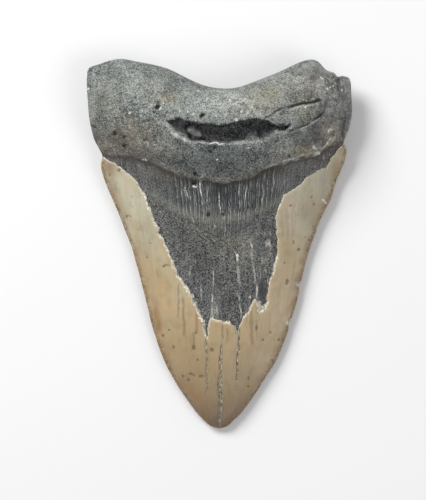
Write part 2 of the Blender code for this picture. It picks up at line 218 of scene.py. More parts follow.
# The outline seen from above
rootTop = [
    (-43.3, 56.8), (-42.4, 58.2), (-39.4, 59.2), (-35.5, 60.5), (-31.5, 60.9), (-26.2, 59.9),
    (-20.6, 58.8), (-15.7, 57.2), (-9.7, 54.2), (-4.5, 52.1), (0.8, 51.2), (6.1, 51.6), (12.7, 53.9),
    (20.0, 56.8), (25.9, 59.6), (29.9, 60.7), (32.5, 60.0), (35.1, 57.3), (37.6, 56.4), (38.8, 55.1),
    (40.4, 55.3), (42.4, 54.8), (43.2, 53.2),
]
leftSide = [
    (-5.3, -58.0), (-8.2, -54.7), (-13.0, -48.1), (-16.8, -41.5), (-19.6, -34.9), (-21.9, -28.3),
    (-23.6, -21.7), (-25.2, -15.1), (-26.9, -8.5), (-28.7, -1.9), (-31.2, 4.7), (-33.8, 11.3),
    (-36.6, 17.9), (-38.5, 22.9), (-39.0, 26.2), (-38.5, 29.1), (-39.4, 31.3), (-40.9, 34.1),
    (-41.9, 37.4), (-42.7, 41.7), (-43.2, 47.6), (-43.5, 52.9), (-43.3, 56.8),
]
rightSide = [
    (4.8, -58.2), (7.4, -55.7), (10.7, -51.4), (15.0, -44.8), (19.0, -38.2), (21.8, -31.6),
    (24.1, -24.7), (26.1, -17.4), (27.6, -10.8), (28.9, -4.9), (31.0, 1.4), (33.2, 7.3), (35.0, 11.0),
    (37.0, 15.3), (38.6, 20.5), (40.3, 24.5), (41.4, 27.8), (41.9, 31.1), (40.9, 33.4), (41.7, 35.7),
    (42.9, 39.0), (43.6, 43.6), (43.4, 48.3), (43.2, 53.2),
]
tipEnd = [(-5.3, -58.0), (-2.8, -60.0), (0.2, -60.8), (2.8, -60.0), (4.8, -58.2)]

# Where the root meets the crown, on the domed face and on the flat one
neckLine = [
    (-44.0, 33.5), (-38.1, 30.4), (-34.5, 29.0), (-26.2, 28.1), (-19.6, 25.8), (-13.0, 22.4),
    (-4.8, 20.5), (0.2, 19.9), (5.1, 20.4), (11.7, 22.5), (20.0, 26.3), (29.9, 29.1), (36.5, 32.4),
    (44.0, 35.5),
]
flatNeckLine = [(-44.0, 31.0), (-36.0, 29.8), (-20.0, 31.0), (0.0, 32.5), (20.0, 31.5), (44.0, 32.5)]

# Lower border of the striped band under the neck, and a faint second bow below it
bandLine = [
    (-42.0, 27.0), (-31.0, 22.4), (-24.6, 19.0), (-15.8, 13.0), (-8.1, 9.9), (0.7, 9.0), (10.6, 10.4),
    (18.3, 14.6), (30.0, 21.0), (42.0, 26.0),
]
secondBow = [
    (-30.0, 16.0), (-19.1, 10.2), (-8.1, 5.2), (-2.0, 2.4), (0.7, 1.2), (4.0, 1.6), (8.4, 2.8),
    (16.1, 6.9), (30.0, 14.0),
]

# Edge of the enamel on the domed face, then round the outside of the root, which has none
enamelEdge = [
    (-38.4, 28.8), (-35.5, 27.2), (-32.8, 25.5), (-29.9, 23.2), (-27.2, 20.5), (-24.9, 17.2),
    (-23.6, 13.3), (-21.6, 8.3), (-18.0, 0.4), (-16.0, -4.5), (-14.7, -7.8), (-12.0, -12.5),
    (-7.4, -20.0), (-6.4, -23.3), (-5.1, -26.3), (-4.1, -30.9), (-3.4, -26.3), (-2.5, -24.0),
    (-0.2, -25.0), (2.8, -25.5), (4.8, -26.8), (6.1, -29.0), (7.1, -25.3), (8.7, -22.4), (12.0, -17.7),
    (13.2, -20.4), (14.4, -21.4), (15.3, -19.7), (16.0, -15.4), (16.7, -10.8), (18.3, -6.8),
    (19.1, -3.2), (19.0, 2.1), (18.3, 9.0), (19.3, 12.0), (21.0, 16.3), (23.6, 17.4), (26.6, 19.9),
    (29.2, 22.4), (32.2, 24.3), (35.1, 25.2), (36.8, 28.3), (38.8, 30.8), (40.8, 32.8),
]
roundTheRoot = [(60.0, 33.0), (60.0, 80.0), (-60.0, 80.0), (-60.0, 29.0)]

# The broken-out hollow across the root, its lower lip and the block of stone left in it
hollowMouth = [
    (-17.0, 39.7), (-15.2, 40.1), (-13.5, 40.5), (-11.8, 40.0), (-9.8, 39.4), (-5.9, 38.7),
    (-2.5, 38.6), (0.3, 38.2), (3.9, 38.7), (5.3, 39.3), (9.7, 40.0), (11.7, 40.4), (14.1, 40.0),
    (16.1, 39.4), (17.9, 38.3), (21.0, 38.5), (23.6, 39.3), (22.7, 38.1), (21.8, 37.1), (20.5, 36.7),
    (19.3, 36.6), (18.9, 37.0), (17.6, 36.1), (15.6, 34.9), (14.1, 34.2), (12.9, 34.2), (12.1, 34.7),
    (9.7, 34.6), (7.8, 33.7), (4.4, 32.9), (1.9, 32.7), (-1.5, 33.2), (-4.0, 33.0), (-8.9, 33.6),
    (-10.1, 34.5), (-11.0, 35.5), (-13.0, 36.2), (-14.2, 36.9), (-15.3, 38.0),
]
lowerLip = [
    (-20.1, 39.7), (-18.6, 39.8), (-17.7, 39.3), (-16.7, 38.0), (-15.7, 36.5), (-13.7, 35.3),
    (-11.8, 34.4), (-10.1, 33.5), (-8.9, 33.2), (-4.0, 32.7), (-1.5, 32.9), (0.4, 32.4), (3.9, 32.4),
    (5.8, 33.0), (8.8, 33.4), (12.7, 33.2), (15.6, 34.2), (17.6, 35.2), (19.1, 36.2), (20.0, 36.1),
    (21.5, 36.4), (24.0, 38.6),
]
lipBand = [  # along x: half width and how light the broken lip is, partly a painted highlight on its lit edge
    (-20.5, 0.3, 0.3), (-17.5, 0.5, 0.5), (-15.5, 0.8, 0.8), (-14.0, 0.9, 0.95), (-12.5, 0.8, 0.75),
    (-11.3, 0.9, 1.0), (-10.0, 0.45, 0.6), (-8.5, 0.35, 0.7), (-4.5, 0.25, 0.9), (-3.5, 0.4, 1.0),
    (0.5, 0.35, 1.0), (3.5, 0.3, 0.7), (5.0, 0.5, 0.6), (8.0, 0.9, 0.7), (12.5, 0.9, 0.75),
    (14.0, 0.5, 0.45), (18.0, 0.6, 0.5), (21.5, 0.5, 0.6), (24.5, 0.3, 0.3),
]
stoneOutline = [
    (-10.5, 37.2), (-9.2, 37.6), (-8.0, 37.4), (-6.8, 36.6), (-5.7, 35.6), (-4.9, 34.8), (-6.0, 34.0),
    (-7.6, 33.8), (-9.0, 34.4), (-9.9, 35.4),
]

# Cracks and grooves: points, depth, half width, how dark
cracks = [
    ([(14.4, 40.1), (16.1, 41.4), (18.1, 42.3), (19.6, 43.4), (22.0, 44.1)], 0.5, 0.35, 0.35),
    ([(21.4, 43.9), (24.5, 45.0), (26.9, 45.5), (29.4, 46.0), (31.4, 46.5), (33.9, 46.9)], 0.9, 0.55, 0.8),
    ([(22.4, 36.6), (24.4, 37.2), (26.9, 38.1), (29.5, 39.3)], 0.6, 0.5, 0.45),
    ([(29.5, 39.3), (30.9, 40.5), (32.5, 41.5), (33.5, 42.7), (34.2, 44.0)], 0.7, 0.55, 0.6),
    ([(35.4, 42.2), (38.4, 41.3), (42.4, 40.8)], 0.5, 0.45, 0.4),
    ([(38.8, 55.6), (39.6, 50.0), (40.6, 44.6), (41.2, 41.7), (40.6, 38.2), (40.0, 34.4)], 0.6, 0.6, 0.2),
    ([(-42.8, 39.6), (-41.2, 38.7), (-40.6, 38.1), (-39.3, 36.9)], 0.6, 0.5, 0.7),
    ([(-4.2, -29.5), (-4.1, -36.6), (-4.2, -41.1), (-4.0, -46.4), (-4.2, -50.5)], 0.2, 0.4, 0.55),
    ([(0.8, -25.6), (1.0, -29.0), (0.9, -33.6)], 0.1, 0.3, 0.45),
    ([(0.9, -32.4), (0.6, -36.0), (0.4, -38.8), (0.4, -42.6), (0.2, -46.4)], 0.3, 0.5, 0.85),
    ([(0.3, -42.0), (0.1, -46.4), (0.4, -52.1), (0.1, -55.9), (0.3, -60.6)], 0.3, 0.72, 0.85),
    ([(6.3, -26.2), (6.5, -29.7), (6.3, -35.0), (6.0, -38.8), (5.7, -46.0)], 0.25, 0.34, 0.9),
    ([(5.6, -45.0), (5.5, -50.0)], 0.1, 0.5, 0.3),
    # hairlines in the enamel
    ([(-13.2, -12.4), (-13.2, -18.0), (-13.4, -23.7)], 0.06, 0.16, 0.5),
    ([(-8.0, -29.0), (-8.3, -34.5)], 0.06, 0.16, 0.5),
    ([(2.6, -26.4), (2.4, -31.0)], 0.05, 0.14, 0.4),
    ([(22.5, 13.8), (22.9, 2.8)], 0.05, 0.13, 0.3),
    ([(25.2, 15.0), (25.0, 4.0)], 0.05, 0.13, 0.3),
    ([(27.5, 16.0), (27.2, 7.0)], 0.05, 0.13, 0.25),
    # faint edges in the dentine
    ([(-13.0, 9.2), (-9.0, 6.8), (-5.0, 4.6), (-1.0, 2.4), (1.0, 1.0)], 0.12, 0.3, 0.4),
    ([(1.0, 1.0), (3.5, 2.2), (6.5, 4.2), (9.5, 6.5)], 0.08, 0.28, 0.25),
    ([(-22.0, 15.0), (-17.0, 10.5), (-13.0, 8.0)], 0.06, 0.35, 0.2),
]
flatHairCracks = [
    [(-6.0, 30.0), (-5.2, 8.0), (-4.0, -18.0), (-1.8, -44.0)],
    [(5.5, 31.0), (5.0, 14.0), (3.8, -6.0)],
    [(14.0, 30.5), (12.4, 10.0), (9.0, -16.0), (6.8, -30.0)],
    [(-17.0, 30.0), (-15.0, 16.0), (-13.6, 4.0)],
    [(0.8, -36.0), (0.6, -48.0), (0.2, -59.0)],
    [(-25.0, 29.0), (-22.6, 18.0)],
    [(26.0, 30.0), (23.0, 16.0)],
]
folds = [  # soft brown grooves down the enamel: points, half width, strength
    ([(-13.4, -13.0), (-13.3, -19.0), (-13.6, -25.0)], 0.3, 0.5),
    ([(-11.9, -16.5), (-11.7, -24.0), (-11.4, -31.0)], 0.4, 0.6),
    ([(-7.4, -22.0), (-7.5, -29.5)], 0.5, 0.55),
    ([(-8.5, -28.5), (-8.4, -35.0)], 0.45, 0.4),
    ([(10.7, -20.5), (10.6, -27.0), (10.9, -34.0)], 0.5, 0.6),
    ([(12.2, -24.5), (12.5, -32.0)], 0.3, 0.35),
    ([(9.2, -21.5), (9.0, -26.0)], 0.3, 0.3),
    ([(1.2, -26.5), (1.1, -31.0)], 0.3, 0.4),
    ([(2.9, -27.0), (2.7, -32.0)], 0.3, 0.35),
    ([(16.5, -22.0), (16.3, -30.0)], 0.4, 0.2),
    ([(22.0, 12.5), (22.4, 1.0)], 0.35, 0.3),
    ([(24.0, 14.0), (24.2, 3.0)], 0.3, 0.25),
    ([(20.6, 9.0), (21.0, 2.0)], 0.3, 0.25),
    ([(-31.0, 9.4), (-29.9, 9.5), (-28.8, 9.0)], 0.2, 0.8),
    ([(-33.5, 20.6), (-34.2, 19.0), (-33.6, 17.6)], 0.3, 0.25),
    ([(-29.4, 14.4), (-29.2, 12.8), (-28.2, 12.0)], 0.3, 0.3),
]
# White streaks, a few of them painted highlights on lit edges: points, half width, strength
veins = [
    # the boldest of the stripes under the neck
    ([(-5.3, 22.1), (-6.4, 21.3)], 0.22, 0.85),
    ([(-6.2, 20.9), (-6.2, 18.5), (-5.7, 15.2)], 0.2, 0.9),
    ([(-5.6, 14.4), (-5.6, 12.3)], 0.14, 0.5),
    ([(-0.1, 17.0), (0.1, 13.5), (0.4, 9.9)], 0.16, 0.75),
    ([(-12.4, 17.4), (-12.2, 15.7)], 0.18, 0.7),
    ([(-11.2, 19.0), (-10.6, 17.0), (-10.0, 14.8)], 0.15, 0.7),
    ([(-9.7, 13.1), (-9.1, 11.2)], 0.13, 0.7),
    ([(-8.8, 8.9), (-8.1, 6.5)], 0.15, 0.7),
    ([(9.2, 18.9), (8.6, 17.2), (8.3, 14.0)], 0.14, 0.85),
    ([(14.6, 16.9), (14.0, 14.8), (13.9, 13.0)], 0.13, 0.7),
    ([(6.6, 20.5), (6.4, 17.5), (6.2, 15.8)], 0.14, 0.6),
    ([(-1.7, 6.7), (-1.1, 5.1)], 0.16, 0.8),
    ([(1.6, 9.0), (1.6, 8.2)], 0.35, 0.9),
    ([(-3.6, 19.0), (-3.9, 16.0), (-3.7, 13.0)], 0.13, 0.5),
    ([(3.2, 12.2), (3.5, 10.4)], 0.14, 0.5),
    ([(2.0, 18.8), (2.1, 16.2)], 0.12, 0.45),
    ([(18.0, 21.5), (17.7, 18.5)], 0.14, 0.5),
    ([(-7.6, 14.0), (-7.3, 12.0)], 0.14, 0.5),
    ([(1.9, 6.8), (1.8, 2.5)], 0.14, 0.45),
    ([(3.3, 2.2), (3.0, 0.5)], 0.14, 0.45),
    ([(11.4, 16.0), (11.2, 14.6)], 0.14, 0.5),
    # lower down
    ([(-2.0, -7.6), (-2.0, -14.8)], 0.16, 0.55),
    ([(-2.3, -16.3), (-2.2, -19.1)], 0.3, 1.0),
    ([(-2.4, -19.4), (-2.4, -23.8)], 0.28, 0.4),
    ([(-0.9, -19.8), (-0.7, -23.2)], 0.26, 0.5),
    ([(5.2, -2.4), (5.9, -3.8), (6.1, -6.2)], 0.34, 0.95),
    ([(6.1, -6.0), (6.3, -10.0), (6.6, -14.0)], 0.45, 0.28),
    ([(6.5, -16.4), (6.6, -18.5)], 0.22, 0.8),
    ([(6.5, -19.6), (7.2, -22.0), (7.0, -24.0)], 0.25, 0.6),
    ([(9.9, 1.6), (10.6, -0.6), (10.8, -2.2)], 0.26, 0.55),
    ([(10.5, -2.2), (10.8, -5.6)], 0.3, 0.55),
    ([(11.0, -6.0), (11.5, -9.6), (12.0, -12.8)], 0.32, 0.36),
    ([(12.5, -12.6), (12.3, -15.2), (12.2, -18.0)], 0.3, 0.7),
    ([(15.9, -11.2), (15.8, -13.0)], 0.2, 0.6),
    ([(16.2, -14.0), (16.3, -17.4), (15.6, -19.6)], 0.3, 0.6),
    ([(13.6, -8.6), (13.5, -11.6)], 0.3, 0.35),
    ([(16.2, 1.8), (16.5, 0.0), (16.9, -1.0)], 0.36, 0.85),
    ([(16.5, -1.6), (16.8, -4.6)], 0.22, 0.45),
    ([(15.2, 1.4), (15.3, -0.9)], 0.26, 0.5),
    ([(13.9, -4.2), (14.2, -6.6)], 0.32, 0.6),
    ([(15.2, -4.6), (15.7, -5.6)], 0.36, 0.8),
    ([(15.0, -7.4), (15.3, -10.2)], 0.22, 0.4),
    ([(16.7, 4.6), (16.6, 2.9)], 0.3, 0.6),
    ([(14.8, 4.2), (14.9, 2.8)], 0.3, 0.5),
    ([(17.5, -3.6), (17.4, -5.0)], 0.25, 0.5),
    ([(-9.4, -6.6), (-9.6, -10.6)], 0.2, 0.3),
    ([(-6.0, -13.0), (-5.8, -18.5)], 0.22, 0.35),
    # painted highlights on the lit edges under the cracks at the right end of the hollow
    ([(22.4, 43.3), (25.4, 44.5), (28.0, 45.0), (31.0, 45.6)], 0.36, 0.3),
    ([(23.8, 37.2), (26.2, 37.5), (28.4, 38.2), (30.4, 39.6), (32.4, 40.8)], 0.3, 0.4),
    # on the root
    # the lit rim beside the pit at (-19.9, 44.3): a painted highlight
    ([(-19.3, 43.7), (-18.9, 44.5), (-18.6, 45.1)], 0.28, 1.0),
    ([(-23.6, 33.4), (-23.1, 32.5), (-23.3, 31.8)], 0.26, 0.85),
    ([(-26.3, 34.0), (-25.6, 33.4)], 0.22, 0.6),
    ([(-29.2, 38.8), (-28.9, 37.6)], 0.26, 0.65),
    ([(-31.0, 41.9), (-30.6, 40.4)], 0.25, 0.55),
    ([(-36.8, 43.9), (-36.0, 44.6)], 0.25, 0.5),
    ([(-41.4, 43.0), (-41.1, 42.0)], 0.28, 0.55),
    ([(14.5, 39.5), (15.2, 40.2), (15.6, 40.8)], 0.25, 0.75),
    ([(16.2, 41.2), (18.2, 42.3), (20.3, 43.4)], 0.2, 0.4),
    ([(18.7, 40.9), (19.4, 41.7)], 0.25, 0.45),
    ([(32.6, 55.1), (34.4, 53.5)], 0.28, 0.6),
    ([(37.2, 53.0), (38.7, 52.3)], 0.26, 0.5),
    ([(35.5, 37.9), (36.0, 36.2)], 0.28, 0.8),
    ([(37.0, 38.3), (36.8, 36.7)], 0.22, 0.7),
    ([(37.2, 35.3), (36.1, 34.0), (34.9, 32.5), (33.2, 30.6)], 0.24, 0.7),
    ([(38.4, 36.6), (37.4, 34.2), (36.0, 32.4)], 0.24, 0.45),
    ([(30.4, 32.2), (31.6, 31.1)], 0.55, 0.75),
    ([(32.9, 31.7), (33.2, 30.9)], 0.4, 0.6),
    ([(30.5, 28.9), (31.7, 29.5), (32.9, 30.3)], 0.42, 0.9),
    ([(28.0, 28.2), (29.6, 28.7)], 0.3, 0.6),
    ([(24.4, 27.2), (26.4, 27.8)], 0.26, 0.5),
    ([(20.4, 25.8), (22.6, 26.8)], 0.24, 0.45),
    ([(34.4, 28.8), (34.4, 28.2)], 0.28, 1.0),
    ([(16.6, 25.2), (17.6, 26.0)], 0.25, 0.5),
    ([(-21.5, 27.0), (-20.4, 26.0)], 0.25, 0.45),
    ([(-19.2, 26.6), (-17.8, 25.8)], 0.3, 0.45),
    ([(-26.6, 26.0), (-25.6, 25.1)], 0.25, 0.6),
]
# Round pits: centre, radius and depth
pits = [
    ((-19.9, 44.3), 0.9, 1.3), ((-21.0, 42.5), 0.5, 0.8), ((-5.3, 41.8), 0.8, 1.1),
    ((-5.8, 41.2), 0.6, 0.9), ((-1.5, 31.2), 0.8, 0.9), ((-2.8, 29.8), 0.7, 0.7),
    ((-8.2, 19.8), 0.8, 1.1), ((-7.8, 22.8), 0.8, 0.7), ((-3.5, 9.6), 0.9, 0.6), ((1.1, 9.6), 0.6, 0.6),
    ((12.3, 9.2), 0.6, 0.4), ((-34.1, 36.1), 0.9, 0.8), ((-31.0, 34.9), 0.6, 0.5),
    ((-30.8, 32.1), 0.9, 0.7), ((-23.9, 33.9), 0.5, 0.5), ((22.8, 28.8), 0.6, 0.5),
    ((-17.3, 31.4), 0.5, 0.4),
]
darkSpots = [  # brown dots in the enamel: place and radius
    ((-30.5, 9.2), 0.35), ((-18.3, -7.2), 0.4), ((-17.6, -6.8), 0.3), ((-16.8, -6.7), 0.25),
    ((-16.2, -7.0), 0.25), ((-28.8, 15.7), 0.25), ((-23.8, -4.3), 0.25), ((-22.5, -9.8), 0.2),
    ((-16.5, -28.2), 0.35), ((-18.5, -30.1), 0.45), ((-15.0, -33.8), 0.45), ((-8.4, -34.1), 0.5),
    ((-8.3, -33.3), 0.3), ((-2.4, -34.6), 0.6), ((-7.1, -37.9), 0.3), ((-9.5, -42.6), 0.4),
    ((-8.9, -42.8), 0.4), ((-8.2, -43.0), 0.3), ((-6.2, -43.4), 0.4), ((-5.6, -43.3), 0.35),
    ((-11.9, -43.5), 0.4), ((-10.1, -44.7), 0.45), ((9.7, -43.9), 0.35), ((9.7, -44.6), 0.3),
    ((9.6, -46.9), 0.4), ((12.3, -27.1), 0.35), ((12.3, -27.8), 0.3), ((14.4, -31.4), 0.35),
    ((19.6, -31.5), 0.35), ((16.9, -29.0), 0.3), ((17.3, -38.2), 0.35), ((-7.6, -29.0), 0.3),
    ((26.2, -1.7), 0.45), ((22.5, -12.0), 0.6), ((22.3, -12.7), 0.4), ((21.5, -6.1), 0.3),
    ((31.2, 13.3), 0.4), ((30.4, 15.6), 0.35), ((23.3, 12.7), 0.3), ((24.4, 1.0), 0.25),
    ((24.5, 0.4), 0.3), ((29.6, 1.5), 0.3), ((38.3, 21.2), 0.5), ((28.4, 2.6), 0.25),
    ((31.0, 5.8), 0.25), ((-33.0, 24.4), 0.45), ((-36.0, 23.0), 0.3), ((-22.6, 0.4), 0.25),
    ((-26.5, 5.0), 0.25),
]
lightSpots = [  # white flecks, and painted highlights on the lit rims of some pits: place and radius
    ((34.3, 14.3), 0.7), ((35.1, 13.9), 0.55), ((27.2, 4.9), 0.4), ((5.6, -34.6), 0.5),
    ((5.0, -33.2), 0.3), ((37.3, 51.7), 0.3), ((40.2, 50.4), 0.4), ((5.5, 40.3), 0.4),
    ((5.6, 39.9), 0.4), ((8.5, 42.0), 0.35), ((9.1, 42.3), 0.3), ((10.5, 44.3), 0.4),
    ((7.1, 42.8), 0.35), ((-6.8, 50.0), 0.35), ((3.4, 46.8), 0.3), ((-8.5, 18.9), 0.3),
    ((-7.9, 18.7), 0.35), ((-7.4, 19.0), 0.25), ((-42.9, 51.0), 0.4), ((-29.0, 42.6), 0.45),
    ((-19.0, 44.0), 0.35), ((-19.3, 43.6), 0.3), ((-25.5, 41.7), 0.3), ((-25.0, 27.6), 0.3),
    ((-24.0, 27.5), 0.4), ((35.2, 50.5), 0.3), ((27.9, 44.4), 0.35), ((-8.4, 42.0), 0.3),
    ((-10.2, 42.7), 0.3), ((-12.8, 43.0), 0.3), ((9.3, 31.2), 0.35), ((12.0, 3.4), 0.35),
    ((10.1, -17.4), 0.35), ((-14.1, 8.6), 0.3), ((-0.7, 27.4), 0.35), ((19.5, -4.7), 0.3),
    ((9.3, -14.2), 0.25), ((13.3, -4.5), 0.3), ((-31.7, 9.4), 0.3), ((35.9, 36.9), 0.45),
    ((36.4, 37.5), 0.35), ((36.6, 34.6), 0.3), ((30.8, 31.7), 0.45), ((31.6, 31.2), 0.35),
    ((32.6, 29.8), 0.4), ((34.0, 28.3), 0.35), ((33.0, 54.6), 0.3), ((33.6, 54.1), 0.25),
    ((34.9, 52.9), 0.25), ((36.2, 51.2), 0.2), ((31.6, 49.9), 0.25),
]
crumbs = [  # patches of broken white enamel: centre and reach
    ((13.2, -21.9), (1.5, 1.3)), ((14.9, -20.6), (0.8, 1.3)), ((25.9, -13.4), (0.7, 1.0)),
    ((22.6, -26.0), (0.6, 1.2)), ((-5.0, -27.2), (0.7, 1.4)), ((-2.2, -23.4), (0.9, 0.8)),
]

